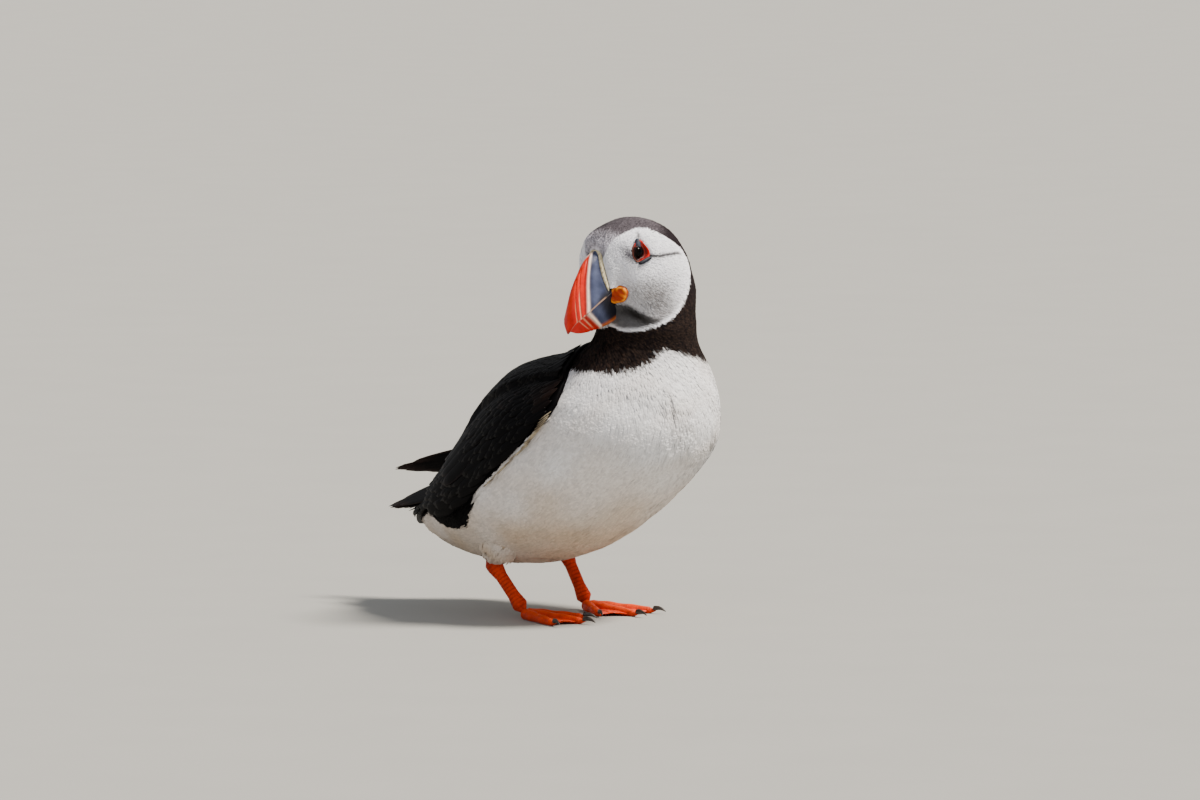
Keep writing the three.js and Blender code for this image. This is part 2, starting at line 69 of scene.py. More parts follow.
azimuth = np.radians(AZIMUTH)
elevation = np.radians(ELEVATION)
to_camera = np.array([np.sin(azimuth) * np.cos(elevation), -np.cos(azimuth) * np.cos(elevation),
                      np.sin(elevation)])
camera = shown("camera", bpy.data.cameras.new("camera"))
camera.data.lens = LENS
camera.data.sensor_width = SENSOR
camera.data.clip_end = FARTHEST
camera.location = (np.array(AIM) + to_camera * VIEW_WIDTH * LENS / SENSOR) * MM
camera.rotation_euler = Vector(-to_camera).to_track_quat("-Z", "Y").to_euler()
bpy.context.scene.camera = camera

# ---------------------------------------------------------------- driving dimensions

MIDDLE_Y = -6.15                     # world Y of the line through the foot joints

HEAD_CENTRE = (-6, 54, 168.2)        # x, forward, up
HEAD_YAW = 95                        # degrees turned to the bird's right
HEAD_PITCH = 76.5
HEAD_HEIGHT = 22.5

# Rings of the flesh from the tail coverts to the throat: x, forward, up, rise of the spine, turn
# of the spine, and the reach to the back, to the belly and to each side.
TRUNK_RINGS = [
    (0, -78, 42.5, 14, 0, 0, 0, 0),
    (0, -69, 41.5, 22, 0, 6.5, 10, 15),
    (0, -50, 45.2, 28, 0, 14.5, 23, 28.5),
    (0, -25.5, 49.6, 33, 0, 29.5, 31, 40),
    (0, -0.8, 62.2, 38, 0, 43.5, 39, 47),
    (0, 22.4, 77.3, 43, 0, 50, 40.5, 49.5),
    (0, 42.2, 91.4, 51, 0, 46.5, 39, 48),
    (0, 53.9, 104.3, 60, 0, 39.5, 37.5, 42.5),
    (0, 56.8, 119, 70, 4, 31, 33.5, 33.5),
    (0, 56.2, 132.8, 81, 25, 23.5, 24.3, 24.8),
    (0.5, 56.5, 141.7, 85, 60, 23.5, 24, 23),
    (0, 55, 150.7, 80, 90, 27, 25, 23),
]
# Rings of the head: height over its centre, and the reach to the back, the face and each side.
HEAD_RINGS = [
    (-10.5, 29, 25, 22.8),
    (0, 27.1, 24.3, 21.8),
    (0.51 * HEAD_HEIGHT, 20.6, 24.4, 19),
    (0.87 * HEAD_HEIGHT, 10, 21, 12.5),
    (HEAD_HEIGHT, 0, 0, 0),
]
# Swell of the face on each side of the bill's base: where it is highest, in degrees from
# straight ahead and in height over the head's centre, how far it spreads, how much it adds.
CHEEK_FACING, CHEEK_SPREAD, CHEEK_OVER, CHEEK_HEIGHT, CHEEK_SWELL = 43, 20, 4, 11, 0.11
HEAD_COAT = 9.2                      # ring where the body's coat ends and the head's begins
HEAD_ALONE = 11.5                    # ring over which the marks of the head are put
SKIN_ROWS, SKIN_SIDES = 330, 240
TABLE_STEPS = 400                    # steps of the tables read from the flesh
SWELL_PASSES = 6                     # times that the angle round a swollen cheek is found anew

# Feathers of the coats when none are left out, and the most that one piece takes.
BODY_TUFTS, HEAD_TUFTS, THIGH_TUFTS, CUFF_TUFTS = 72000, 36000, 1800, 5200
PIECE_TUFTS = 16000

# Bill edges in the head's frame, as (forward, up).
CULMEN = [(12, 13), (18, 14), (24.4, 13.1), (30.6, 10.1), (36.8, 4.8), (41.4, -0.5),
          (44.7, -5.9), (47.2, -12.5), (48.5, -17), (49.2, -19.6)]
GAPE = [(12, -1.5), (20, -3.4), (28, -6), (35.6, -9), (43, -12.4), (46.5, -14.6), (48.2, -17.2),
        (49.1, -19.5)]
KEEL = [(12, -19.5), (20, -21.4), (28, -22.2), (37, -21.9), (43.6, -20.6), (48.2, -17.8)]
BILL_HALF = [(0, 9.6), (0.3, 9.4), (0.5, 7.4), (0.7, 4.3), (0.88, 1.7), (1, 0.2)]
CULMEN_SHARE, KEEL_SHARE = 0.22, 0.42
BILL_CORNER = 6 / 7 * np.pi          # angle from the ridge at which the flat gape starts
GAPE_POWER = 1.4                     # how the way from ridge to gape grows with the angle

# Band round the bill's base by its place from ridge to gape: share along the bill, half width.
CERE_SHARE = [(0, 0.178), (0.3, 0.229), (0.57, 0.2545), (0.93, 0.274)]
CERE_HALF = [(0, 1.45), (0.3, 1.3), (0.57, 1.15), (0.8, 0.9), (0.93, 0.5)]
CERE_PROUD = 1.0
# Rosette at the gape and eye: forward, left and up in the head's frame.
ROSETTE_PLACE = (23.0, 10.0, -7.2)
ROSETTE_FACING, ROSETTE_RADIUS, ROSETTE_DEPTH = 34, 4.3, 2.4
EYE_PLACE = (12.1, 15.4, 10.2)
EYE_RADIUS = 3.2
LID_RADIUS = 2.75                    # inner edge of the rim, on the ball
# Outer edge of the bare rim round the eye: (degrees up from straight ahead, radius).
EYE_RIM = [(16, 3.25), (73, 3.6), (125, 6.2), (152, 4.8), (208, 5.2), (265, 3.4), (309, 5.0),
           (336, 4.3)]

# Ankles, joints of the feet and starts of the legs inside the flesh: x, forward, up.
LEG_ANKLE = {"left": (21, -12, 29.5), "right": (-23, -19.5, 26.4)}
LEG_JOINT = {"left": (23, 0, 4.8), "right": (-23, 0, 4.8)}
LEG_INSIDE = {"left": (24, 2, 50), "right": (-25, -6, 46)}
LEG_TURN = {"left": -10, "right": 0}                  # degrees each foot is turned outward
# Radii of the lower leg's shaft, ankle and foot joint, and of the thigh; depth over width.
SHAFT, KNOB, FOOT, THIGH, LEG_DEPTH = 2.5, 3.5, 3.3, 12, 1.2
THIGH_RADII = [(0, THIGH), (0.6, THIGH * 0.8), (1, KNOB * 1.3)]
TARSUS_SCUTES = 19                   # rings of scutes on the lower leg
# Toes: degrees outward from straight ahead, length, length of the claw.
TOES = {"inner": (-27, 31, 5), "middle": (0, 39, 6), "outer": (25, 37, 5)}
# Radii of a toe at its joint and at its end, how far its sole is cut flat, radius of a claw.
TOE_RADIUS, TOE_TIP, TOE_SOLE, CLAW_RADIUS = 2.9, 1.7, 0.35, 1.3
TOE_SCUTE = 1.3                      # length of one scute on a toe
# Thickness of a web, height of its underside, and how far its free edge is drawn in.
WEB_THICKNESS, WEB_UNDER, WEB_INSET = 1.1, 0.6, 0.1

# Lower and inner edge of the folded wing: (ring number along the flesh, angle from the belly).
WING_LOWER = [(2.4, 1.75), (2.75, 1.6), (3.1, 1.57), (3.6, 1.6), (4.8, 1.64), (5.4, 1.66),
              (6, 1.72), (6.5, 1.82), (7.2, 2.05), (8, 2.5)]
WING_INNER = [(2, 3.12), (4, 3.07), (6, 2.98), (8, 2.84)]
# Groove between the wing's coverts and the shoulder feathers that lie over them.
WING_GROOVE = [(3.6, 2.52), (4.3, 2.56), (4.85, 2.45), (5.4, 2.39), (5.9, 2.36), (6.4, 2.3),
               (6.9, 2.17), (7.4, 1.99), (7.9, 1.9)]

SIDES = {"left": 1, "right": -1}
UPWARD = np.array([0, 0, 1.0])


# ---------------------------------------------------------------- colours and materials

def linear(hex_colour):
    """Linear colour of an sRGB hex value: the toe is a straight line, the rest a 2.4 power."""
    value = np.array([int(hex_colour[i:i + 2], 16) for i in (1, 3, 5)]) / 255
    return np.where(value <= 0.04045, value / 12.92, ((value + 0.055) / 1.055) ** 2.4)


WHITE = linear("#E4E3E4")
# Warm cream: the feathers' own tone, and also painted warm light thrown up from below.
WARM_TONE_AND_BOUNCE = linear("#C4B09A")
FACE_WHITE = linear("#F6F6FC")
# Greys of dusky feathers, also used as painted shade: on the lower face and chin, along the breast
# seam, and in the furrow behind the eye.
GREY_DUSK_AND_SHADE = linear("#8A827C")
CHEEK_STREAK_AND_SHADE = linear("#4E4742")
DARK_DUSK_AND_SHADE = linear("#15110E")
EYE_SHADE = linear("#6E6C72")
# Painted shade of the skin in the eye's socket.
SOCKET_SHADE = linear("#120808")
# Crown and forehead: partly their own grey and pale tone, partly painted light falling on the top of
# the head.
CROWN_TONE_AND_LIGHT = linear("#5E585D")
FOREHEAD_TONE_AND_LIGHT = linear("#D2CED8")
NAPE = linear("#231C1F")
COLLAR = linear("#110C0D")
COLLAR_BROWN = linear("#30251F")
BLACK = linear("#040304")
# Brown edges of the long feathers: partly their own brown, partly painted sheen.
BROWN_EDGE_AND_SHEEN = linear("#2E211D")


def mixed(first, second, share):
    """First colour turned into the second one by a share from 0 to 1."""
    share = np.clip(share, 0, 1)[..., None]
    return first * (1 - share) + second * share


def node(tree, kind, links=(), **settings):
    """Adds a node, sets its properties or input values, and links sockets into its inputs."""
    made = tree.nodes.new(kind)
    for key, value in settings.items():
        if hasattr(made, key):
            setattr(made, key, value)
        else:
            made.inputs[key.replace("_", " ")].default_value = value
    for socket, source in dict(links).items():
        tree.links.new(source, made.inputs[socket])
    return made


def started(name, roughness, **sockets):
    """New material with its shader; the sockets are set by their names."""
    material = bpy.data.materials.new(name)
    material.use_nodes = True
    shader = material.node_tree.nodes["Principled BSDF"]
    shader.inputs["Roughness"].default_value = roughness
    for key, value in sockets.items():
        shader.inputs[key.replace("_", " ")].default_value = value
    return material, material.node_tree, shader


def painted(tree, shader, speck_size, speck, bump_size, bump_height):
    """Colour of the piece's own "tint" attribute with fine specks, and a fine bump.

    Sizes are in millimetres; speck is how much lighter and darker the specks are.
    """
    tint = node(tree, "ShaderNodeAttribute", attribute_name="tint")
    place_of = node(tree, "ShaderNodeTexCoord")
    mapping = node(tree, "ShaderNodeMapping", {"Vector": place_of.outputs["Object"]})
    specks = node(tree, "ShaderNodeTexNoise", {"Vector": mapping.outputs["Vector"]},
                  Scale=1 / (speck_size * MM), Detail=3.0)
    shade = node(tree, "ShaderNodeMapRange", {"Value": specks.outputs["Fac"]},
                 From_Min=0.3, From_Max=0.7, To_Min=1 - speck, To_Max=1 + speck)
    colour = node(tree, "ShaderNodeVectorMath",
                  {0: tint.outputs["Color"], 1: shade.outputs["Result"]}, operation="MULTIPLY")
    tree.links.new(colour.outputs["Vector"], shader.inputs["Base Color"])
    grain = node(tree, "ShaderNodeTexNoise", {"Vector": mapping.outputs["Vector"]},
                 Scale=1 / (bump_size * MM), Detail=2.0)
    bump = node(tree, "ShaderNodeBump", {"Height": grain.outputs["Fac"]},
                Strength=1.0, Distance=bump_height * MM)
    tree.links.new(bump.outputs["Normal"], shader.inputs["Normal"])
    return mapping


def soft_feathers():
    """Contour feathers: matt, downy keratin with almost no gloss, fine barbs 0.35 mm apart."""
    material, tree, shader = started("soft contour feathers", 0.85, Specular_IOR_Level=0.08)
    painted(tree, shader, 2.5, 0.06, 0.35, 0.03)
    return material


def flight_feathers():
    """Wing and tail feathers: closed vanes of dark keratin, low gloss, barbs 0.4 mm apart."""
    material, tree, shader = started("dark feather vanes", 0.5, Specular_IOR_Level=0.05)
    painted(tree, shader, 3, 0.25, 0.4, 0.05)
    return material


def bill_keratin():
    """Bill sheath: horn with a soft waxy gloss, grained about 0.5 mm apart."""
    material, tree, shader = started("bill horn", 0.4, IOR=1.5, Specular_IOR_Level=0.22)
    painted(tree, shader, 1.6, 0.1, 0.5, 0.04)
    return material


def wax_skin():
    """Cere: dull waxy skin pricked with small pits about 0.5 mm apart."""
    material, tree, shader = started("pitted wax skin", 0.55)
    painted(tree, shader, 0.9, 0.12, 0.5, 0.18)
    return material


def gape_skin():
    """Rosettes and rims of the eyes: soft skin, wrinkled 0.6 mm apart, lets a little light in."""
    material, tree, shader = started("wrinkled gape skin", 0.42, Specular_IOR_Level=0.18,
                                     Subsurface_Weight=0.08, Subsurface_Scale=1.2 * MM)
    shader.inputs["Subsurface Radius"].default_value = (1.0, 0.35, 0.1)
    painted(tree, shader, 0.8, 0.12, 0.6, 0.12)
    return material


def cornea():
    """Eyeball: wet, very smooth cornea over a near black iris, uneven over 2 mm."""
    material, tree, shader = started("wet cornea", 0.06, Specular_IOR_Level=0.06)
    painted(tree, shader, 0.5, 0.2, 2, 0.005)
    return material


def plate_horn():
    """Eye plates: dull slate-blue horn, grained 0.4 mm apart."""
    material, tree, shader = started("slate eye horn", 0.5, Specular_IOR_Level=0.2)
    painted(tree, shader, 0.7, 0.15, 0.4, 0.08)
    return material


def scaly_leg():
    """Legs and toes: leathery skin with small round scales about 0.9 mm across."""
    material, tree, shader = started("scaly orange leg skin", 0.45, Specular_IOR_Level=0.15,
                                     Subsurface_Weight=0.08, Subsurface_Scale=1.0 * MM)
    shader.inputs["Subsurface Radius"].default_value = (1.0, 0.3, 0.1)
    mapping = painted(tree, shader, 1.8, 0.14, 0.5, 0.05)
    scales = node(tree, "ShaderNodeTexVoronoi", {"Vector": mapping.outputs["Vector"]},
                  feature="DISTANCE_TO_EDGE", Scale=1 / (0.9 * MM))
    edge = node(tree, "ShaderNodeMapRange", {"Value": scales.outputs["Distance"]},
                From_Min=0.0, From_Max=0.12, To_Min=0.0, To_Max=1.0)
    bump = node(tree, "ShaderNodeBump", {"Height": edge.outputs["Result"]},
                Strength=1.0, Distance=0.1 * MM)
    tree.links.new(bump.outputs["Normal"], shader.inputs["Normal"])
    return material


def web_membrane():
    """Web: thin damp skin, wrinkled 0.7 mm apart, lets a little light in."""
    material, tree, shader = started("orange web skin", 0.4, Specular_IOR_Level=0.15,
                                     Subsurface_Weight=0.15, Subsurface_Scale=0.8 * MM)
    shader.inputs["Subsurface Radius"].default_value = (1.0, 0.3, 0.1)
    painted(tree, shader, 2.2, 0.16, 0.7, 0.12)
    return material


def claw_keratin():
    """Claws: hard dark horn with a worn gloss, grained 0.4 mm apart."""
    material, tree, shader = started("dark claw horn", 0.35, IOR=1.55)
    painted(tree, shader, 1.0, 0.3, 0.4, 0.05)
    return material


def pale_floor():
    """Floor: matt pale painted board with a very faint mottle 60 mm across."""
    material, tree, shader = started("pale painted board", 0.8)
    painted(tree, shader, 60, 0.015, 4, 0.05)
    return material


# ---------------------------------------------------------------- meshes

def add_tint(mesh, tint):
    """Attribute "tint" on a mesh: the colour of each of its points."""
    colour = np.ones((len(mesh.vertices), 4), np.float32)
    colour[:, :3] = np.clip(tint, 0, 1)
    layer = mesh.attributes.new("tint", "FLOAT_COLOR", "POINT")
    layer.data.foreach_set("color", colour.ravel())


def new_piece(name, points, faces, tint, material, uv=None, smooth=True):
    """Mesh from whole arrays.

    Points are in millimetres, faces are arrays of corner numbers, tint is the colour of each
    point, and uv is a place on the coat's unwrap for each point. Faces are shaded smooth or flat.
    """
    corners = np.concatenate([part.ravel() for part in faces])
    sizes = np.concatenate([np.full(len(part), part.shape[1]) for part in faces])
    mesh = bpy.data.meshes.new(name)
    mesh.vertices.add(len(points))
    mesh.vertices.foreach_set("co", (points * MM).astype(np.float32).ravel())
    mesh.loops.add(len(corners))
    mesh.loops.foreach_set("vertex_index", corners.astype(np.int32))
    mesh.polygons.add(len(sizes))
    starts = np.concatenate([[0], np.cumsum(sizes)[:-1]])
    mesh.polygons.foreach_set("loop_start", starts.astype(np.int32))
    mesh.polygons.foreach_set("use_smooth", np.full(len(sizes), smooth))
    add_tint(mesh, tint)
    if uv is not None:
        layer = mesh.uv_layers.new(name="OFBake")
        layer.data.foreach_set("uv", uv[corners].astype(np.float32).ravel())
    mesh.update(calc_edges=True)
    mesh.validate()
    mesh.materials.append(material)
    piece = shown(name, mesh)
    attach(piece, "root")
    return piece


def closed(grid):
    """One grid or many, with the first and the last row drawn together to their middles."""
    for row in (0, -1):
        grid[..., row, :, :] = grid[..., row, :, :].mean(-2, keepdims=True)
    return grid


def lofts(grids):
    """Closed skins over one grid of rows and columns of points, or over many, as points and faces.

    Columns run round; the first and the last row of each grid are single points. The faces
    turn outwards by the sign of the volume they close, taken over all grids.
    """
    pieces = int(np.prod(grids.shape[:-3]))
    rows, columns = grids.shape[-3:-1]
    points = unrolled(grids)
    count = (rows - 2) * columns + 2
    ring = np.arange((rows - 2) * columns).reshape(rows - 2, columns) + 1
    after = np.roll(ring, -1, axis=1)
    quads = np.stack([ring[:-1], after[:-1], after[1:], ring[1:]], -1).reshape(-1, 4)
    first = np.stack([np.zeros(columns, int), after[0], ring[0]], -1)
    last = np.stack([np.full(columns, count - 1), ring[-1], after[-1]], -1)
    caps = np.concatenate([first, last])
    offset = count * np.arange(pieces)[:, None, None]
    faces = [(quads + offset).reshape(-1, 4), (caps + offset).reshape(-1, 3)]
    if volume(points, faces) < 0:
        faces = [part[:, ::-1] for part in faces]
    return points, faces


def unrolled(grids):
    """The values of one grid, or of many, in the order of the points of their lofts."""
    grids = grids.reshape(-1, *grids.shape[-3:])
    pieces, _, _, width = grids.shape
    inner = grids[:, 1:-1].reshape(pieces, -1, width)
    return np.concatenate([grids[:, :1, 0], inner, grids[:, -1:, 0]], 1).reshape(-1, width)


def volume(points, faces):
    """Six times the signed volume: the sum over all faces of the triple products of the corners
    of their fans, taken about the middle of the points."""
    shifted = points - points.mean(0)
    total = 0
    for part in faces:
        for k in range(1, part.shape[1] - 1):
            a, b, c = shifted[part[:, 0]], shifted[part[:, k]], shifted[part[:, k + 1]]
            total += (a * np.cross(b, c)).sum()
    return total


def ringed(grid):
    """Closed ring: a grid whose rows and columns both run round, as points and faces."""
    rows, columns = grid.shape[:2]
    at = np.arange(rows * columns).reshape(rows, columns)
    down = np.roll(at, -1, axis=0)
    quads = np.stack([at, np.roll(at, -1, 1), np.roll(down, -1, 1), down], -1).reshape(-1, 4)
    points = grid.reshape(-1, 3)
    if volume(points, [quads]) < 0:
        quads = quads[:, ::-1]
    return points, [quads]


def joined(parts):
    """Several (points, faces) as one."""
    points, faces, offset = [], [], 0
    for part_points, part_faces in parts:
        points.append(part_points)
        faces += [part + offset for part in part_faces]
        offset += len(part_points)
    return np.concatenate(points), faces


def add_lofts(name, grids, tint, material, slot, *replaced):
    """Piece from one closed grid, or from many, with a colour for each of their places."""
    points, faces = lofts(grids)
    piece = new_piece(name, points, faces, unrolled(tint), material)
    if replaced:
        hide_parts(*replaced)


# ---------------------------------------------------------------- frames and curves

def place(x, forward, up):
    """World point of a place given as x, forward from the foot joints, and up."""
    x, forward, up = np.broadcast_arrays(x, forward, up)
    return np.stack([x, MIDDLE_Y - forward, up], -1).astype(float)


def frame_of(rise, turn):
    """Directions of the spine, of the belly and of the left side, for a rise and a turn."""
    rise, turn = np.radians(rise), np.radians(turn)
    cr, sr, ct, st = np.cos(rise), np.sin(rise), np.cos(turn), np.sin(turn)
    level = np.zeros_like(ct * cr)
    spine = np.stack([-st * cr, -ct * cr, sr + level], -1)
    belly = np.stack([-st * sr, -ct * sr, -cr + level], -1)
    left = np.stack([ct + level, -st + level, level], -1)
    return spine, belly, left


HEAD_UP, HEAD_FORWARD, HEAD_LEFT = frame_of(np.array(HEAD_PITCH), np.array(HEAD_YAW))
HEAD_MIDDLE = place(*HEAD_CENTRE)


def head_place(forward, left, up):
    """World point of a place in the head's own frame."""
    forward, left, up = np.broadcast_arrays(forward, left, up)
    return (HEAD_MIDDLE + forward[..., None] * HEAD_FORWARD + left[..., None] * HEAD_LEFT
            + up[..., None] * HEAD_UP)


def head_read(points):
    """Forward, left and up of world points in the head's own frame."""
    moved = points - HEAD_MIDDLE
    return moved @ HEAD_FORWARD, moved @ HEAD_LEFT, moved @ HEAD_UP


def eased(value, low, high):
    """0 below low, 1 above high, and a smooth cubic step between."""
    share = np.clip((value - low) / (high - low), 0, 1)
    return share * share * (3 - 2 * share)


def bell(value, middle, width):
    """Bell curve: 1 at its middle, falling as exp of minus the squared distance in widths."""
    return np.exp(-((value - middle) / width) ** 2)


def closing(run, power):
    """Root of 1 less a power of the run: 1 where it is 0, and 0 where it is 1 (or -1, if the
    power is even)."""
    return np.sqrt(np.maximum(1 - run ** power, 0))


def round_ends(share, steep):
    """1 along the middle and 0 at both ends: a sine times a steepness, cut off at 1."""
    return np.minimum(1, np.sin(np.pi * share) * steep)


def turns(count):
    """Angles in equal steps once round."""
    return np.arange(count) * TAU / count


def between(padded, at):
    """Uniform Catmull-Rom curve through the rows of a list that has one more row at each end."""
    at = np.clip(at, 0, len(padded) - 3 - 1e-9)
    i = np.floor(at).astype(int)
    t = (at - i)[..., None]
    a, b, c, d = padded[i], padded[i + 1], padded[i + 2], padded[i + 3]
    return b + 0.5 * t * (c - a + t * (2 * a - 5 * b + 4 * c - d + t * (3 * (b - c) + d - a)))


def spline(points, share):
    """Curve through a list of points, by share of the list."""
    points = np.array(points, float)
    padded = np.concatenate([points[:1], points, points[-1:]])
    return between(padded, share * (len(points) - 1))


def read(pairs, at):
    """Straight-line reading of (place, value) pairs."""
    pairs = np.array(pairs, float)
    return np.interp(at, pairs[:, 0], pairs[:, 1])


def unit(vectors):
    """Vectors of length 1 in the same directions."""
    return vectors / np.maximum(np.linalg.norm(vectors, axis=-1, keepdims=True), 1e-9)


def facing(normal, way):
    """Normals, turned round where they point against a way."""
    return normal * np.sign((normal * way).sum(-1, keepdims=True))


def drift(points, size, seed):
    """Value that wanders slowly from about -1 to 1: 1.8 times the mean of six sine waves of
    about the given length."""
    waves = np.random.default_rng(seed)
    directions = unit(waves.normal(size=(6, 3))) * TAU / (size * waves.uniform(0.7, 1.5, (6, 1)))
    return np.sin(points @ directions.T + waves.uniform(0, TAU, 6)).mean(-1) * 1.8


# ---------------------------------------------------------------- flesh

def all_rings():
    """Rings of trunk and head as rows; the head's follow from its frame."""
    head = np.array(HEAD_RINGS, float)
    middle = head_place(0, 0, head[:, 0])
    alike = np.ones(len(head))
    rows = np.column_stack([middle[:, 0], MIDDLE_Y - middle[:, 1], middle[:, 2],
                            HEAD_PITCH * alike, HEAD_YAW * alike, head[:, 1:]])
    return np.vstack([np.array(TRUNK_RINGS, float), rows])


RINGS = all_rings()
LAST_RING = len(RINGS) - 1
# The ring before the first and the one after the last repeat their neighbours, with the reaches
# on the other side, so that the ends close round.
END_SIGNS = np.array([1, 1, 1, 1, 1, -1, -1, -1])
PADDED_RINGS = np.vstack([END_SIGNS * RINGS[1], RINGS, END_SIGNS * RINGS[-2]])


def cheek_swell(over, angle):
    """How much further the face reaches: a bell in the turn from straight ahead and in height."""
    turn = np.degrees(np.abs((angle + np.pi) % TAU - np.pi))
    return (CHEEK_SWELL * bell(turn, CHEEK_FACING, CHEEK_SPREAD)
            * bell(over, CHEEK_OVER, CHEEK_HEIGHT))


def flesh(ring, angle):
    """Outer form of the flesh.

    The middle of the ring, plus the reach to the belly or back times the cosine of the angle,
    plus the reach to the side times its sine, both a little more on the cheeks; the angle is 0
    at the belly and grows to the left.
    """
    ring, angle = np.broadcast_arrays(np.asarray(ring, float), np.asarray(angle, float))
    values = np.moveaxis(between(PADDED_RINGS, ring), -1, 0)
    x, forward, up, rise, turn, to_back, to_belly, to_side = values
    _, belly, left = frame_of(rise, turn)
    cos = np.cos(angle)
    reach = np.where(cos > 0, to_belly, to_back)
    middle = place(x, forward, up)
    more = 1 + cheek_swell((middle - HEAD_MIDDLE) @ HEAD_UP, angle)
    return (middle + belly * (more * reach * cos)[..., None]
            + left * (more * to_side * np.sin(angle))[..., None])


def lie(ring, angle):
    """Point, outward normal and the two slopes of the flesh, by small steps on each side."""
    step = 1e-3
    ring = np.clip(ring, 0.02, LAST_RING - 0.02)
    along = (flesh(ring + step, angle) - flesh(ring - step, angle)) / (2 * step)
    across = (flesh(ring, angle + step) - flesh(ring, angle - step)) / (2 * step)
    return flesh(ring, angle), unit(np.cross(across, along)), along, across


def stepped(ring, angle, along, across, way):
    """Ring and angle after a small way in space: solves the 2 by 2 system of the two slopes."""
    aa, ac, cc = (along ** 2).sum(-1), (along * across).sum(-1), (across ** 2).sum(-1)
    wa, wc = (way * along).sum(-1), (way * across).sum(-1)
    scale = np.maximum(aa * cc - ac ** 2, 1e-6)
    return ring + (wa * cc - wc * ac) / scale, angle + (wc * aa - wa * ac) / scale


def head_sections():
    """Heights over the head's centre, and the reach to the back, the face and the side there."""
    rings = between(PADDED_RINGS, np.linspace(len(TRUNK_RINGS), LAST_RING, TABLE_STEPS))
    x, forward, up, _, _, to_back, to_face, to_side = rings.T
    return head_read(place(x, forward, up))[2], to_back, to_face, to_side


HEAD_OVER, TO_BACK, TO_FACE, TO_SIDE = head_sections()


def face_side(forward, up):
    """How far the head's side lies from its middle plane, at a place on the face.

    The angle round the head whose cosine gives the forward place is found by going round a few
    times, because the cheek's swell depends on it.
    """
    side = np.interp(up, HEAD_OVER, TO_SIDE)
    reach = np.where(forward > 0, np.interp(up, HEAD_OVER, TO_FACE),
                     np.interp(up, HEAD_OVER, TO_BACK))
    more = 1.0
    for _ in range(SWELL_PASSES):
        angle = np.arccos(np.clip(forward / (reach * more), -1, 1))
        more = 1 + cheek_swell(up, angle)
    return side * more * np.sin(angle)


def face_front(left, up):
    """How far the face lies ahead of the head's middle, found in the same way."""
    side = np.interp(up, HEAD_OVER, TO_SIDE)
    reach = np.interp(up, HEAD_OVER, TO_FACE)
    more = 1.0
    for _ in range(SWELL_PASSES):
        angle = np.arcsin(np.clip(left / (side * more), -1, 1))
        more = 1 + cheek_swell(up, angle)
    return reach * more * np.cos(angle)


def grid_of(rows, columns, low=0.0, high=1.0):
    """Rows from low to high and angles once round, as two grids."""
    return np.meshgrid(np.linspace(low, high, rows), turns(columns), indexing="ij")


# ---------------------------------------------------------------- markings

# Upper and lower edge of the white face: (angle round the head from straight ahead, height).
FACE_TOP = [(0.15, 8), (0.26, 11.6), (0.36, 16.2), (0.5, 18.6), (0.7, 19.6), (1.1, 20), (1.5, 18.7),
            (1.9, 12.8), (2.15, 8), (2.38, 2.8), (2.47, -2.5)]
FACE_BOTTOM = [(0, -23.5), (0.12, -24), (0.36, -25.2), (0.72, -25.8), (1.1, -24.8), (1.42, -23.3),
               (1.81, -18.9), (2.24, -11.8), (2.41, -7.2), (2.47, -2.5)]
# Angle at which the white face ends at the rear, and millimetres to a radian of it there.
FACE_REAR, FACE_ROUND = 2.46, 24
# Lower edge of the dark collar as (angle from the belly, ring), and the edge of the black back
# as (ring, angle).
COLLAR_EDGE = [(-3.14, 6.9), (-2.34, 7.35), (-1.74, 7.98), (-1.2, 8.32), (-0.82, 8.52),
               (-0.49, 8.72), (-0.05, 9.08), (0.29, 8.9), (0.9, 8.55), (1.5, 8.2), (2.34, 7.35),
               (3.14, 6.9)]
BACK_EDGE = [(0, 1.7), (1, 2.15), (1.5, 1.85), (1.85, 1.6), (2.2, 1.4), (2.5, 1.32), (3.1, 1.34),
             (3.4, 1.5), (3.7, 1.62), (4.1, 1.72), (5.4, 1.75), (6.3, 1.85), (6.9, 1.98), (7.4, 2.3)]
# Furrow behind the eye, as (forward, up) on the side of the head.
FURROW = [(7.4, 7.4), (6.2, 6.8), (2.2, 5.7), (-1, 5.5), (-4.4, 4.7), (-9, 3.9), (-14.8, 1.8)]
# Upper edge of the dusky chin, as (forward, up).
CHEEK_FOLD = [(6, -24.5), (9.4, -22.4), (13.6, -19.8), (17, -16.2), (20.1, -12.5), (22.6, -11.2)]
# Dusky streak over the eye, in the same way.
BROW = [(8.6, 16.6), (7.6, 17.9)]
# Half width of the part of the face that the bill covers: (height, half width).
BILL_FOOT = [(-22, 3), (-19, 5.2), (-3.4, 9.2), (8, 6.4), (13.5, 3.2), (15, 0)]
# Seam where the breast feathers part: (ring, angle) of its strands, and about how many
# millimetres there are to a ring and to a radian of the breast.
BREAST_SEAM = [[(8.2, -0.46), (7.85, -0.45), (7.4, -0.4), (7.2, -0.3)],
               [(7.75, -0.2), (7.55, -0.24), (7.35, -0.33)],
               [(7.5, -0.2), (7.25, -0.05), (7.04, 0.06)]]
SEAM_SCALE = (22, 36)


def distance_to(path, first, second, scale=(1, 1)):
    """Distance in the plane from points to a path of straight pieces, each axis times its scale."""
    scale = np.array(scale, float)
    path = np.array(path, float) * scale
    at = np.stack([first, second], -1) * scale
    nearest = np.full(at.shape[:-1], 1e9)
    for start, end in zip(path[:-1], path[1:]):
        span = end - start
        share = np.clip(((at - start) @ span) / (span @ span), 0, 1)
        gap = np.linalg.norm(at - start - share[..., None] * span, axis=-1)
        nearest = np.minimum(nearest, gap)
    return nearest


def seam_distance(ring, angle):
    """Distance, about in millimetres, to the nearest strand of the breast seam."""
    return np.min([distance_to(strand, ring, angle, SEAM_SCALE) for strand in BREAST_SEAM], axis=0)


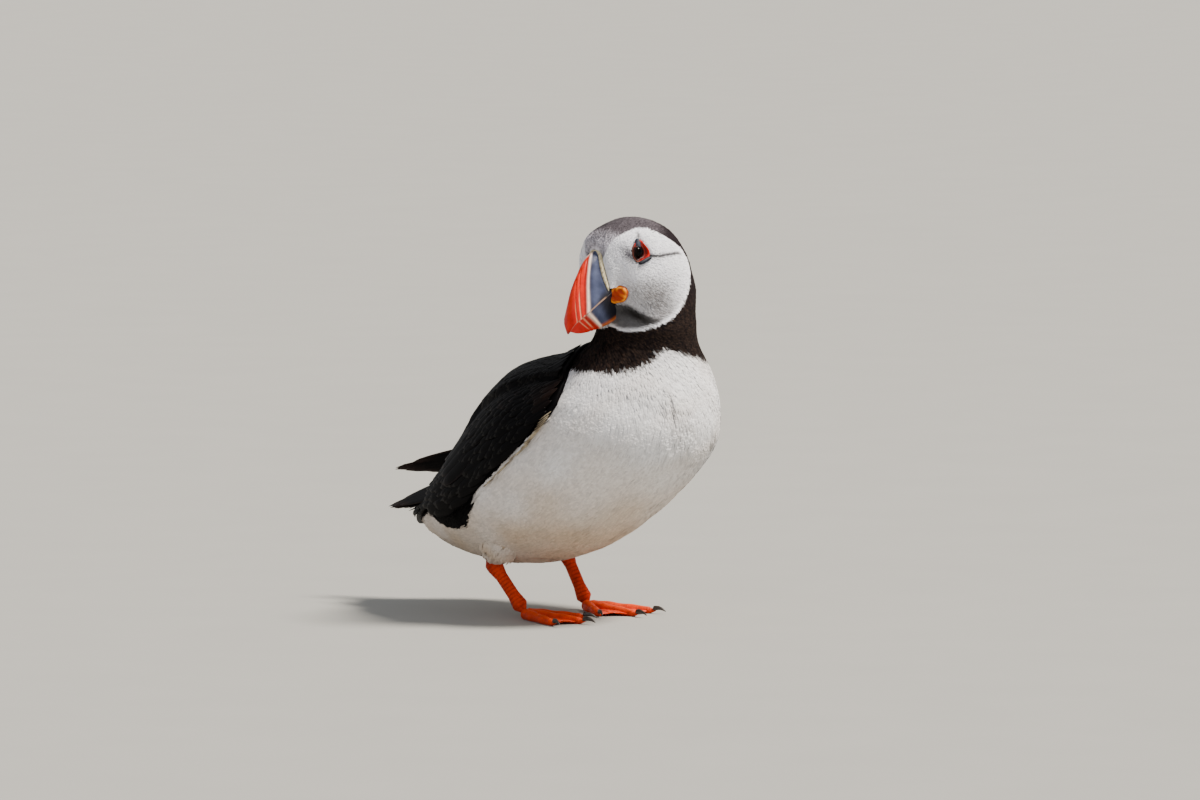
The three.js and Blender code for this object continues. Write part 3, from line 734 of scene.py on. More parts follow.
def eye_rim(turn):
    """Radius of the bare red rim round the eye, read from its table the whole way round."""
    degrees, radii = np.array(EYE_RIM).T
    return np.interp(np.degrees(turn), degrees, radii, period=360)


def eye_distance(forward, up):
    """Distance outside the edge of the eye's bare rim, negative inside it."""
    ahead, over = forward - EYE_PLACE[0], up - EYE_PLACE[2]
    return np.hypot(ahead, over) - eye_rim(np.arctan2(over, ahead))


def face_inside(forward, left, up):
    """How far a place lies inside the white face, in millimetres, negative outside it."""
    turn = np.abs(np.arctan2(left, forward))
    rear = (FACE_REAR - turn) * FACE_ROUND
    return np.minimum(np.minimum(read(FACE_TOP, turn) - up, up - read(FACE_BOTTOM, turn)), rear)


def body_colour(points, ring, angle):
    """White breast, warmer below in painted warm bounce light, with painted shade along its seam,
    and the edge of the black back.
    """
    # Painted warm bounce light from below makes the lower breast warmer; the band at ring 5 and the
    # slow mottle are partly cream tone, partly that bounce.
    low = 1 - eased(points[..., 2], 28, 75)
    warm = 0.3 * bell(ring, 5, 2) + 0.16 * drift(points, 24, 6)
    body = mixed(WHITE, WARM_TONE_AND_BOUNCE, np.clip(0.75 * low + warm, 0, 1))
    # Painted shade along the breast seam, where the feathers part.
    body = mixed(body, GREY_DUSK_AND_SHADE, 0.3 * bell(seam_distance(ring, angle), 0, 1.5))
    back = eased(np.abs(angle) - read(BACK_EDGE, ring), -0.02, 0.02) * (ring < 7.6)
    return mixed(body, BLACK, back)


def collar_colour(ring, angle, streak):
    """Dark collar with browner feathers in it, black behind where it runs into the back."""
    collar = mixed(COLLAR, COLLAR_BROWN, 0.35 + 0.6 * streak)
    return mixed(collar, BLACK, eased(np.abs(angle), 1.9, 2.7) * (1 - eased(ring, 7.5, 9.5)))


def hood_colour(forward, up, streak):
    """Dark nape, greyer crown and pale forehead; crown and forehead are partly their own tone
    and partly painted light on the top of the head.
    """
    # Lighter upwards and forwards: partly the crown's grey, partly painted light on the top of the
    # head.
    hood = mixed(NAPE, CROWN_TONE_AND_LIGHT, eased(up + 0.6 * forward, 5, 19) * (0.75 + 0.5 * streak))
    return mixed(hood, FOREHEAD_TONE_AND_LIGHT, eased(forward, 12, 18) * bell(up, 15, 5) * (0.9 + 0.5 * streak))


def face_colour(forward, up, turn, streak):
    """White face: grey cheek and dusky chin, both partly painted shade of the lower face, shade
    before and round the eye, brow, and a furrow in painted shade.
    """
    rim = up - read(FACE_BOTTOM, turn)
    # Cheek: grey streaked feathers, darkened further as painted shade of the lower face.
    cheek = eased(-up, -1, 12) * bell(forward, 9, 12) * eased(rim, 0.5, 3)
    face = mixed(FACE_WHITE, CHEEK_STREAK_AND_SHADE, cheek * (0.72 + 0.12 * streak))
    # Lower face: grey streaks, partly dusky feathers and partly painted shade.
    face = mixed(face, GREY_DUSK_AND_SHADE, 0.3 * bell(turn, 0.8, 0.5) * bell(up, -7, 5) * (1 + streak))
    # Chin: dusky feathers plus painted shadow under the bill and head, darkest at its middle.
    below = read(CHEEK_FOLD, forward) - up
    chin = eased(below, -0.6, 2) * eased(rim, 0.4, 2.4) * eased(forward, 3, 11)
    dark = 0.84 + 0.15 * bell(forward, 18, 4.5) * bell(below, 4, 3)
    face = mixed(face, DARK_DUSK_AND_SHADE, chin * dark)
    face = mixed(face, EYE_SHADE, bell(forward, 17.2, 2.4) * bell(up, 10.4, 4.2))
    face = mixed(face, EYE_SHADE, 0.4 * bell(forward, 13.6, 2.8) * bell(up, 3.9, 1.0))
    face = mixed(face, DARK_DUSK_AND_SHADE, 0.8 * bell(distance_to(BROW, forward, up), 0, 0.7))
    face = mixed(face, EYE_SHADE, 0.5 * bell(eye_distance(forward, up), 0.3, 0.7))
    # Furrow: painted shade in the crease behind the eye, with a wider soft painted shade round it.
    furrow = distance_to(FURROW, forward, up)
    face = mixed(face, DARK_DUSK_AND_SHADE, bell(furrow, 0, 0.75) * eased(forward, -16, -10))
    return mixed(face, EYE_SHADE, 0.22 * bell(furrow, 0, 1.6) * eased(forward, -14, -4))


def plumage(points, ring, angle, streak):
    """Colour of the plumage at places on the flesh; skin and coat share it.

    The streak, from -1 to 1, mixes the darker and lighter feathers of mottled parts.
    """
    forward, left, up = head_read(points)
    turn = np.abs(np.arctan2(left, forward))
    collar = collar_colour(ring, angle, streak)
    edge = ring - read(COLLAR_EDGE, angle) + 0.05 * streak
    body = mixed(body_colour(points, ring, angle), collar, eased(edge, -0.08, 0.06))
    hood = mixed(collar, hood_colour(forward, up, streak), eased(up, -26, -6))
    face = face_colour(forward, up, turn, streak)
    inside = eased(face_inside(forward, left, up), -0.35, 0.35)
    headed = eased(ring, HEAD_COAT, HEAD_COAT + 0.5)
    return mixed(body, mixed(hood, face, inside), headed)


# ---------------------------------------------------------------- skin

def coat_depth(ring):
    """Depth of the coat over the skin: thin on the face, deeper on the body."""
    return 0.9 + 0.8 * (1 - eased(ring, 7.5, 11))


def loft_lengths(rings):
    """Share of the flesh's length that lies before each ring, along a line on its left side."""
    steps = np.linalg.norm(np.diff(flesh(rings, 0.8), axis=0), axis=-1)
    return np.concatenate([[0], np.cumsum(steps)]) / steps.sum()


SPAN_RINGS = np.linspace(0, LAST_RING, TABLE_STEPS)
SPAN = loft_lengths(SPAN_RINGS)


def unwrapped(ring, angle):
    """Place on the coat's unwrap: the angle round the body across, the length of the loft up."""
    across = (angle / TAU) % 1
    upward = np.interp(ring, SPAN_RINGS, SPAN)
    return np.stack([across * 0.98 + 0.01, upward * 0.98 + 0.01], -1)


def thigh_unwrapped(share, turn):
    """Place of the thighs on the coat's unwrap: a small patch of it."""
    return np.stack([0.1 + 0.05 * share, 0.02 + 0.05 * turn / TAU], -1)


def skin_dent(points, ring, angle):
    """How far the skin is pressed in: furrow, hollow before the eye, eye socket, breast seam."""
    forward, _, up = head_read(points)
    furrow = 0.8 * bell(distance_to(FURROW, forward, up), 0, 0.8)
    hollow = 0.4 * bell(forward, 17.4, 2.4) * bell(up, 10.4, 3.8)
    hollow = hollow + 2.2 * (1 - eased(eye_distance(forward, up), -1.0, -0.1))
    seam = 0.9 * bell(seam_distance(ring, angle), 0, 1.8)
    return np.where(ring > HEAD_ALONE, furrow + hollow, seam)


def thigh_axis(side):
    """Start inside the flesh and end at the ankle."""
    return place(*LEG_INSIDE[side]), place(*LEG_ANKLE[side])


def limb(start, end, radii, share, angle, more=0.0):
    """Limb: the point of its axis at the share, plus the radius round it, deeper fore and aft.

    What is given as more is added to the radius and to both ends.
    """
    span = end - start
    length = np.linalg.norm(span)
    direction = span / length
    aside = unit(np.cross(np.array([0, -1.0, 0]), direction))
    ahead = np.cross(direction, aside)
    radius = (read(radii, share) + more) * round_ends(share, 2.2)
    middle = start + direction * ((length + 2 * more) * share - more)[..., None]
    return (middle + aside * (radius * np.cos(angle))[..., None]
            + ahead * (radius * LEG_DEPTH * np.sin(angle))[..., None])


def add_skin():
    """One skin for trunk, neck, head and thighs, inside the flesh by the depth of the coat."""
    ring, angle = grid_of(SKIN_ROWS, SKIN_SIDES, 0, LAST_RING)
    point, normal, _, _ = lie(ring, angle)
    signed = (angle + np.pi) % TAU - np.pi
    depth = coat_depth(ring) + skin_dent(point, ring, signed)
    grid = closed(flesh(ring, angle) - normal * depth[..., None])
    # Painted shade: the skin under the coat takes the plumage's colour a tenth darker, for the shade
    # between the feathers.
    tint = plumage(point, ring, signed, drift(point, 3, 5)) * 0.9
    forward, _, up = head_read(point)
    # Painted shade: the skin in the eye's socket turns near black.
    socket = (ring > HEAD_ALONE) * (1 - eased(eye_distance(forward, up), -0.7, -0.1))
    tint = mixed(tint, SOCKET_SHADE, socket)
    parts = [lofts(grid)]
    tints = [unrolled(tint)]
    uvs = [unrolled(unwrapped(ring, signed))]
    for side in SIDES:
        share, turn = grid_of(40, 36)
        thigh = limb(*thigh_axis(side), THIGH_RADII, share, turn, -1.0)
        parts.append(lofts(thigh))
        # Thigh skin: warm cream made 15 percent darker, a painted shade under its feathers.
        tints.append(np.broadcast_to(WARM_TONE_AND_BOUNCE * 0.85, (len(parts[-1][0]), 3)))
        uvs.append(unrolled(thigh_unwrapped(share, turn)))
    points, faces = joined(parts)
    skin = new_piece("skin", points, faces, np.concatenate(tints), FEATHER,
                     np.concatenate(uvs))
    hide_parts("head", "neck", "breast", "back", "belly", "rump", "thigh_left",
                "thigh_right")


# ---------------------------------------------------------------- coat

CELLS_ALONG, CELLS_ROUND = 160, 120              # cells by which a coat is spread
TUFT_PATCH = 0.003                               # size of one tuft on the unwrap
TUFT_SHARES = np.array([0, 0.3, 0.72, 1])        # places of a tuft's rings along it
TUFT_SPREAD = np.array([0, 0.9, 1.0, 0])         # share of its width at each ring
TUFT_CLIMB = np.array([0, 0.62, 1.0, 0.94])      # share of the way from root depth to tip depth
TUFT_SHADE = np.array([0.93, 0.97, 1.0, 1.01])   # how light each ring is
TUFT_RIDGE = 0.06                                # height of its ridge over its width
ROOT_DEPTH = 0.3                                 # how deep its root lies in the skin
SHOWN_PART = 0.6                                 # where along a tuft its colour is taken
WING_PRESS = 3                                   # how far the wing's edge presses tips down
COAT_START, COAT_END = 0.15, 15.95               # rings between which the coat lies


def scattered(count, low, high):
    """Rings and angles spread evenly by area over a stretch of the flesh.

    Each root goes where the summed area of the stretch's cells reaches its jittered share of
    the whole, and to a random place inside that cell.
    """
    ring, angle = np.meshgrid(np.linspace(low, high, CELLS_ALONG + 1),
                              np.linspace(-np.pi, np.pi, CELLS_ROUND + 1), indexing="ij")
    _, _, along, across = lie(ring, angle)
    area = np.linalg.norm(np.cross(along, across), axis=-1)[:-1, :-1]
    total = np.cumsum(area.ravel())
    pick = (np.arange(count) + rng.uniform(size=count)) / count * total[-1]
    cell = np.minimum(np.searchsorted(total, pick), total.size - 1)
    row, column = np.divmod(cell, CELLS_ROUND)
    return (low + (row + rng.uniform(size=count)) * (high - low) / CELLS_ALONG,
            -np.pi + (column + rng.uniform(size=count)) * TAU / CELLS_ROUND)


def lie_of_coat(points, normal, along, ring):
    """Direction of the feathers: tailwards on the body; on the head back from the bill, up over
    the forehead, and down over cheeks and chin."""
    forward, left, up = head_read(points)
    tailward = -unit(along)
    over = 1.6 * eased(up, 6, 12) * eased(forward, 4, 14) * (1 - eased(np.abs(left), 8, 14))
    climb = over + 0.5 * eased(up, 12, 20) - 0.35 - 0.9 * eased(-up, -2, 16)
    face_way = -HEAD_FORWARD + HEAD_UP * climb[..., None]
    sideways = HEAD_LEFT * (np.sign(left) * 0.5 * eased(forward, 8, 24))[..., None]
    share = eased(ring, 9.8, 12)[..., None]
    way = tailward * (1 - share) + (unit(face_way + sideways)) * share
    way = way - normal * (way * normal).sum(-1, keepdims=True)
    return unit(way)


def bare(points, ring, angle):
    """True where no contour feather grows: bill, rosettes, eyes, and under wings and tail."""
    forward, left, up = head_read(points)
    bill = (forward > 10) & (np.abs(left) < read(BILL_FOOT, up)) & (ring > 10)
    far = np.hypot(np.abs(left) - ROSETTE_PLACE[1], up - ROSETTE_PLACE[2])
    rosette = (forward > 15) & (far < ROSETTE_RADIUS * 0.8) & (ring > 11)
    eye = eye_distance(forward, up) < 0.1
    eye |= eye_distance(forward - 1.1, up - 0.3) < 0
    eye &= (ring > 12) & (forward > 0)
    turn = np.abs(angle)
    wing = (ring > 2.5) & (ring < 6.9) & (turn > read(WING_LOWER, ring) + 0.035)
    wing &= turn < read(WING_INNER, ring) - 0.2
    tail = (ring < 1.8) & (turn > 2.5)
    return bill | rosette | eye | wing | tail


def tuft_grids(point, normal, way, length, width, deep, tip_depth, bend, sag):
    """Closed three-sided tufts, from single root points through two rings to single tips.

    Each ring's middle is the root, plus the way along the coat, minus the sag of the surface
    under it, which grows with the square of the share. It rises from the root's depth to the
    tip's depth, and the tip itself tucks in a little. The bend to one side grows in the same way.
    """
    side = np.cross(normal, way)
    at = TUFT_SHARES[None, :, None]
    reach = length[:, None, None]
    rise = deep[:, None, None] + (tip_depth - deep)[:, None, None] * TUFT_CLIMB[None, :, None]
    middle = (point[:, None] + way[:, None] * (reach * at)
              + side[:, None] * (bend[:, None, None] * reach * at ** 2)
              - normal[:, None] * (rise + sag[:, None, None] * at ** 2))
    across = side[:, None] * (width[:, None] * TUFT_SPREAD / 2)[..., None]
    ridge = normal[:, None] * (TUFT_RIDGE * width[:, None] * TUFT_SPREAD)[..., None]
    return np.stack([middle - across, middle + ridge, middle + across], 2)


def add_coat(name, count, low, high, look, material):
    """Feathers on a stretch of the flesh, in pieces that stay small enough to export whole.

    Each takes the colour of the place it covers. Those beside the folded wing are lifted by it,
    and those whose tips come under its lower edge are pressed down.
    """
    ring, angle = scattered(count, low, high)
    point, normal, along, across = lie(ring, angle)
    keep = ~bare(point, ring, angle)
    ring, angle, point, normal = ring[keep], angle[keep], point[keep], normal[keep]
    along, across = along[keep], across[keep]
    length, width, tip_depth = look(point, ring, angle)
    jitter = rng.normal(size=len(ring))
    way = lie_of_coat(point, normal, along, ring)
    swirl = 0.14 * drift(point, 26, 3) + 0.07 * jitter
    way = unit(way + np.cross(normal, way) * swirl[:, None])
    length = length * rng.uniform(0.75, 1.2, len(ring))
    width = width * rng.uniform(0.75, 1.25, len(ring))
    to_shown = way * (SHOWN_PART * length)[:, None]
    shown_ring, shown_angle = stepped(ring, angle, along, across, to_shown)
    streak = np.clip(0.2 * drift(point, 3, 5) + 0.55 * jitter, -1, 1)
    tint = plumage(point + to_shown, shown_ring, shown_angle, streak)
    tint = tint * rng.uniform(0.87, 1.08, len(ring))[:, None]
    cover = wing_cover(point, ring, np.abs(angle))
    deep = coat_depth(ring) + skin_dent(point, ring, angle) + ROOT_DEPTH - cover
    tip_depth = tip_depth + 0.3 * drift(point, 13, 8) * (ring < HEAD_COAT) - cover
    end_ring, end_angle = stepped(ring, angle, along, across, way * length[:, None])
    end = flesh(end_ring, end_angle)
    tucked = np.abs(end_angle) > read(WING_LOWER, end_ring) + 0.05
    tucked &= (end_ring > 2.6) & (ring < 6.6) & (np.abs(angle) < 2.2)
    tip_depth = tip_depth + WING_PRESS * tucked
    sag = np.clip(((point - end) * normal).sum(-1), -0.1 * length, 0.4 * length)
    bend = 0.05 * rng.normal(size=len(ring))
    grids = tuft_grids(point, normal, way, length, width, deep, tip_depth, bend, sag)
    local = np.stack(np.meshgrid(TUFT_SHARES - 0.5, [-0.5, 0, 0.5], indexing="ij"), -1)
    spot = unwrapped(ring, angle)[:, None, None] + TUFT_PATCH * local[None, :, :, ::-1]
    uv = np.clip(spot, 0, 1)
    tints = tint[:, None, None] * TUFT_SHADE[None, :, None, None] * np.ones((1, 1, 3, 1))
    pieces = int(np.ceil(len(ring) / PIECE_TUFTS))
    for k, part in enumerate(np.array_split(np.arange(len(ring)), pieces)):
        points, faces = lofts(grids[part])
        new_piece(f"{name}_{k + 1}", points, faces, unrolled(tints[part]), material,
                  unrolled(uv[part]), smooth=False)


def add_thigh_feathers(side):
    """Soft feathers that hang over the thigh and the top of the lower leg."""
    count = int(THIGH_TUFTS * DENSITY)
    share, turn = rng.uniform(0.3, 0.97, count), rng.uniform(0, TAU, count)
    step = 1e-3
    axis = thigh_axis(side)
    thigh = (*axis, THIGH_RADII)
    point = limb(*thigh, share, turn)
    along = limb(*thigh, share + step, turn) - limb(*thigh, share - step, turn)
    around = limb(*thigh, share, turn + step) - limb(*thigh, share, turn - step)
    middle = axis[0] + (axis[1] - axis[0]) * share[:, None]
    normal = facing(unit(np.cross(along, around)), point - middle)
    way = unit(along + np.cross(normal, along) * 0.2 * rng.normal(size=count)[:, None])
    full = np.ones(count)
    length = rng.uniform(4, 7, count) * (1 - 0.45 * eased(share, 0.75, 1))
    grids = tuft_grids(point, normal, way, length, 1.1 * full, 1.2 * full,
                       0.3 + 0.15 * rng.normal(size=count), 0.08 * rng.normal(size=count),
                       length ** 2 / 40)
    points, faces = lofts(grids)
    # Painted warm bounce light from below, with a slow mottle of cream tone.
    tint = mixed(WHITE, WARM_TONE_AND_BOUNCE, 0.8 + 0.15 * drift(points, 9, 9))
    uv = np.repeat(thigh_unwrapped(share, turn), len(points) // count, axis=0)
    new_piece(f"thigh_feathers_{side}", points, faces, tint, FEATHER, uv,
              smooth=False)


def body_look(points, ring, angle):
    """Length, width and tip depth of the body's feathers: long on the belly, raised by the seam."""
    down = eased(np.cos(angle), -0.3, 0.8)
    neck = eased(ring, 7.2, 9.2)
    length = (10.0 + 3.5 * down) * (1 - neck) + 5.5 * neck
    length = length * (0.55 + 0.45 * eased(ring, 0.2, 1.6))
    width = 1.25 * (1 - neck) + 0.72 * neck
    seam = bell(seam_distance(ring, angle), 2.4, 1.4)
    tip = 0.35 + 0.05 * rng.normal(size=len(ring)) - 0.45 * seam
    return length, width, np.maximum(tip, -1.2)


def head_look(points, ring, angle):
    """Length, width and tip depth of the head's feathers: shortest round bill and eyes."""
    forward, _, up = head_read(points)
    short = np.maximum(eased(forward, 6, 22), bell(eye_distance(forward, up), 0, 3))
    neck = 1 - eased(ring, 9.8, 12.5)
    length = 2.8 - 1.2 * short + 1.6 * neck
    width = 0.52 - 0.14 * short + 0.15 * neck
    tip = 0.22 + 0.1 * rng.normal(size=len(ring))
    return length, width, tip


# ---------------------------------------------------------------- wing, tail and flank feathers

# Edge colours of the dark feathers: partly their pale fringes, partly painted glints and sheen where
# light catches the edges.
VANE_EDGE_AND_GLINT = linear("#463F40")
FRINGE_EDGE_AND_GLINT = linear("#4A4240")
RUMP_EDGE_AND_SHEEN = linear("#2E2A2A")
BEND_BROWN = linear("#3A2A24")
LINE_CREAM = linear("#B4A68C")
LINE_DUSK = linear("#4E4034")

# Rows of the coverts: first and last ring, step between rows, millimetres to a radian.
COVERTS_FROM, COVERTS_TO, COVERTS_STEP, WING_ROUND = 3.1, 8.0, 0.17, 47
SECONDARIES, TERTIALS, FRINGE_FEATHERS, RUMP_FEATHERS = 11, 7, 150, 110


def wing_depth(points):
    """How far the folded wing's surface stands off the flesh: most at the bend and over the
    rump, least at the shoulder."""
    forward = MIDDLE_Y - points[..., 1]
    thin = 1 - 0.6 * eased(points[..., 2], 110, 130)
    return 0.3 + (2.3 + 1.6 * bell(forward, 40, 14)) * thin + 4 * eased(-forward, 5, 48)


def wing_cover(points, ring, turn):
    """How far the folded wing lifts what lies on it: its depth, eased in from its edges."""
    inside = eased(turn - read(WING_LOWER, ring), -0.03, 0.1)
    return wing_depth(points) * inside * eased(ring, 2.2, 3.0) * (1 - eased(ring, 7.5, 8.4))


def groove_step(ring, turn):
    """Rise of the shoulder feathers over the coverts, with a dip along the groove."""
    gap = turn - read(WING_GROOVE, ring)
    fade = eased(ring, 3.4, 4.2)
    return (1.5 * eased(gap, 0, 0.05) - 0.9 * bell(gap, -0.03, 0.06)) * fade


def vanes(sign, roots, rows=9, columns=8):
    """Feathers that lie on the wing's surface, closed and thin, as grids.

    Each follows the flesh from its root towards the tail, turned by its lean; its width grows
    as a power of the share and closes as a round tip; the quill is a low ridge along the middle.
    """
    ring, angle, length, half, lean, root_height, tip_height, _ = roots
    _, normal, along, across = lie(ring, sign * angle)
    tailward = -unit(along)
    sideways = np.cross(normal, tailward) * sign
    cos, sin = np.cos(lean)[:, None], np.sin(lean)[:, None]
    way = tailward * cos + sideways * sin
    beside = sideways * cos - tailward * sin
    share = np.linspace(0, 1, rows)
    turn = turns(columns)
    profile = np.minimum(1, (share / 0.35) ** 0.6) * closing(share, 5)
    offset = half[:, None, None] * profile[None, :, None] * np.cos(turn)[None, None]
    reach = length[:, None, None] * share[None, :, None]
    step = way[:, None, None] * reach[..., None] + beside[:, None, None] * offset[..., None]
    at_ring, at_angle = stepped(ring[:, None, None], sign * angle[:, None, None],
                                along[:, None, None], across[:, None, None], step)
    surface, out, _, _ = lie(at_ring, at_angle)
    quill = 0.1 * bell(np.cos(turn), 0, 0.3) * (np.sin(turn) > 0)
    camber = -0.2 * np.cos(turn) ** 2
    thick = (0.16 * np.sin(turn) + camber + quill)[None, None] * profile[None, :, None]
    height = (root_height[:, None, None]
              + (tip_height - root_height)[:, None, None] * share[None, :, None] + thick)
    height = height + wing_depth(surface) + groove_step(at_ring, np.abs(at_angle))
    return closed(surface + out * height[..., None])


def vane_tint(grids, edge, edge_glint_amount):
    """Colour of feathers: black, and towards the edge colour at their outer edges and tips; the
    edge colour stands partly for pale fringes and partly for painted highlights.
    """
    count, rows, columns = grids.shape[:3]
    aside = np.abs(np.cos(turns(columns)))[None, None]
    share = np.linspace(0, 1, rows)[None, :, None]
    rim = np.maximum(eased(aside, 0.75, 1.0), eased(share, 0.8, 1.0)) * np.ones((count, 1, 1))
    return mixed(BLACK * np.ones((1, 1, 1, 3)), edge, rim * edge_glint_amount[:, None, None])


def wing_rows():
    """Roots of the wing's covering feathers, row by row from the rear to the bend.

    All tables of roots hold ring, angle, length, half width, lean, height of the root, height
    of the tip, and amount of the pale edge and painted highlight.
    """
    rows = []
    for ring in np.arange(COVERTS_FROM, COVERTS_TO, COVERTS_STEP):
        low, high = read(WING_LOWER, ring), read(WING_INNER, ring)
        size = eased(7.6 - ring, 0, 3.6)
        wide = 2.1 + 2.2 * size
        count = int((high - low) * WING_ROUND / (wide * 1.05)) + 1
        across = (np.arange(count) + rng.uniform(0.2, 0.8)) / count
        across = across + rng.normal(size=count) * 0.15 / count
        angle = low + 0.03 + (high - low - 0.05) * across
        shoulder = eased(angle - read(WING_GROOVE, ring), -0.02, 0.04)
        length = (8.5 + 11 * size) * (1 + 0.15 * shoulder) * rng.uniform(0.9, 1.12, count)
        # Painted glints: pale edges on some coverts below the groove, and on one feather tip at the
        # rear.
        glint = bell(angle - read(WING_GROOVE, ring), -0.13, 0.1) * (rng.uniform(size=count) < 0.5)
        glint = glint + bell(ring, 3.7, 0.35) * bell(angle, 1.95, 0.2)
        rows.append(np.column_stack([
            ring + 0.05 * rng.normal(size=count), angle, length, wide * (0.62 + 0.1 * shoulder),
            0.06 - 0.1 * shoulder + 0.04 * rng.normal(size=count), np.full(count, -0.8),
            0.2 + 0.08 * rng.normal(size=count), rng.uniform(0.0, 0.03, count) + 0.3 * glint]))
    return np.concatenate(rows).T


def long_rows():
    """Roots of the secondaries along the lower edge and of the tertials over the rump."""
    rows = []
    for k in range(SECONDARIES):
        ring = 5.4 - 0.23 * k
        rows.append((ring, read(WING_LOWER, ring) + 0.07 + 0.012 * k, 26, 2.6, -0.02 + 0.012 * k,
                     -0.8, 0.1, 0.1))
    # Tertials: their pale edges are painted highlights.
    for k in range(TERTIALS):
        rows.append((4.1 - 0.06 * k, 2.0 + 0.15 * k, 27 - 1.2 * k, 4.6, 0.0, -0.3, 0.9 + 0.1 * k,
                     0.35))
    return np.array(rows).T


def fringe_rows():
    """Roots of the loose flank feathers that hang behind the wing over the white coverts."""
    count = FRINGE_FEATHERS
    share = (np.arange(count) + 0.5) / count
    ring = 4.3 - 2.1 * share + 0.07 * rng.normal(size=count)
    angle = 1.70 + 0.1 * bell(share, 0.45, 0.25) + 0.32 * share ** 2 + 0.04 * rng.normal(size=count)
    clump = 0.14 * np.sin(share * 50)
    length = rng.uniform(13, 24, count) * (1 - 0.2 * share) * eased(share, -0.35, 0.2)
    # Last column: pale edges, mostly painted highlights on the hanging strands.
    return np.array([ring, angle, length, rng.uniform(0.25, 1.3, count),
                     0.85 - 0.5 * share + clump + 0.08 * rng.normal(size=count),
                     np.full(count, -1.6), rng.uniform(-4.2, -2.6, count),
                     rng.uniform(0.0, 0.6, count) ** 2])


def rump_rows():
    """Roots of the coverts that lie over the tail's base on one side of the rump."""
    count = RUMP_FEATHERS
    ring = rng.uniform(1.0, 2.9, count)
    # Last column: a faint pale edge that stands for painted sheen.
    return np.array([ring, rng.uniform(1.85, 3.12, count), rng.uniform(9, 14, count),
                     rng.uniform(1.2, 2.1, count), 0.06 * rng.normal(size=count),
                     np.full(count, -3.6), rng.uniform(-2.6, -1.6, count), 0.1 * np.ones(count)])


def edge_rows():
    """Roots of the thin pale feathers that show as a line along the wing's lower edge."""
    even = np.arange(6.3, 4.2, -0.09)
    count = len(even)
    ring = even + 0.02 * rng.normal(size=count)
    full = np.ones(count)
    wide = 0.22 + 0.22 * bell(ring, 5.7, 0.5) + 0.05 * rng.normal(size=count)
    return np.array([ring, read(WING_LOWER, ring) - 0.004 + 0.003 * rng.normal(size=count),
                     7 * full, wide, 0.0 * full, -1.7 * full, -0.9 * full, full])


def add_wing_base(side):
    """Body of the folded wing under its feathers: a pad between the wing's edges that stands
    off the flesh by the wing's depth and thins towards its ends."""
    sign = SIDES[side]
    share, turn = grid_of(90, 60)
    ring = 2.3 + 6.0 * share
    low, high = read(WING_LOWER, ring) + 0.03, read(WING_INNER, ring)
    angle = low + (high - low) * (1 - np.cos(turn)) / 2
    surface, out, _, _ = lie(ring, sign * angle)
    rounded = np.sign(np.sin(turn)) * np.abs(np.sin(turn)) ** 0.5
    top = wing_depth(surface) - 0.9 + groove_step(ring, angle)
    height = np.where(rounded > 0, top, 1.0) * rounded * closing(2 * share - 1, 6)
    grid = closed(surface + out * height[..., None])
    tint = BLACK * np.ones_like(grid)
    add_lofts(f"wing_base_{side}", grid, tint, VANE, "black_feathers", f"wing_{side}")


def add_wing(side):
    """All feathers of one folded wing, brownish at its bend, and the pale line of its edge."""
    sign = SIDES[side]
    sets = [(wing_rows(), VANE_EDGE_AND_GLINT), (long_rows(), VANE_EDGE_AND_GLINT), (fringe_rows(), FRINGE_EDGE_AND_GLINT),
            (rump_rows(), RUMP_EDGE_AND_SHEEN)]
    parts, tints = [], []
    for roots, edge in sets:
        ring, angle, edge_glint_amount = roots[0], roots[1], roots[-1]
        grids = vanes(sign, roots)
        tint = vane_tint(grids, edge, edge_glint_amount)
        bend = eased(ring, 6.3, 7.0) * bell(angle, 1.85, 0.2)
        tint = mixed(tint, BEND_BROWN, 0.5 * bend[:, None, None] * np.ones(tint.shape[:3]))
        parts.append(lofts(grids))
        tints.append(unrolled(tint))
    points, faces = joined(parts)
    new_piece(f"wing_feathers_{side}", points, faces, np.concatenate(tints), VANE)
    grids = vanes(sign, edge_rows(), 7, 6)
    cream = mixed(LINE_CREAM, LINE_DUSK, 0.35 + 0.6 * drift(grids, 6, 33))
    add_lofts(f"wing_edge_{side}", grids, cream, VANE, "white_feathers")


# Daggers of the folded primaries: their roots and tips as x, forward, up, how far apart their
# feathers start, and the half width of a feather.
PRIMARY_ROOT = {"left": (26, -22, 76), "right": (-29, -22, 66)}
PRIMARY_TIP = {"left": (4, -101, 62.5), "right": (-13, -91, 46)}
PRIMARY_SPREAD = {"left": 3.0, "right": 2.4}
PRIMARY_VANE = {"left": 3.4, "right": 2.8}
PRIMARIES, TAIL_FEATHERS = 6, 14


def straight_vanes(root, tip, across, flat, offsets, reaches, half, lifts):
    """Long stiff feathers side by side: straight from the root, closed to a narrow tip.

    Each has its own offset across at the root, reach as a share of the way to the tip, and lift.
    """
    share = np.linspace(0, 1, 16)[None, :, None]
    turn = turns(8)[None, None]
    profile = np.minimum(1, (share / 0.1) ** 0.5) * closing(share, 3)
    offsets, reaches, lifts = (np.asarray(v, float)[:, None, None] for v in (offsets, reaches, lifts))
    aside = offsets * (1 - 0.8 * (share * reaches) ** 1.5) + half * profile * np.cos(turn)
    quill = 0.2 * bell(np.cos(turn), 0, 0.3) * np.sign(np.sin(turn))
    high = lifts + profile * (0.3 * np.sin(turn) + quill)
    middle = root + (tip - root) * (share * reaches)[..., None]
    return closed(middle + across * aside[..., None] + flat * high[..., None])


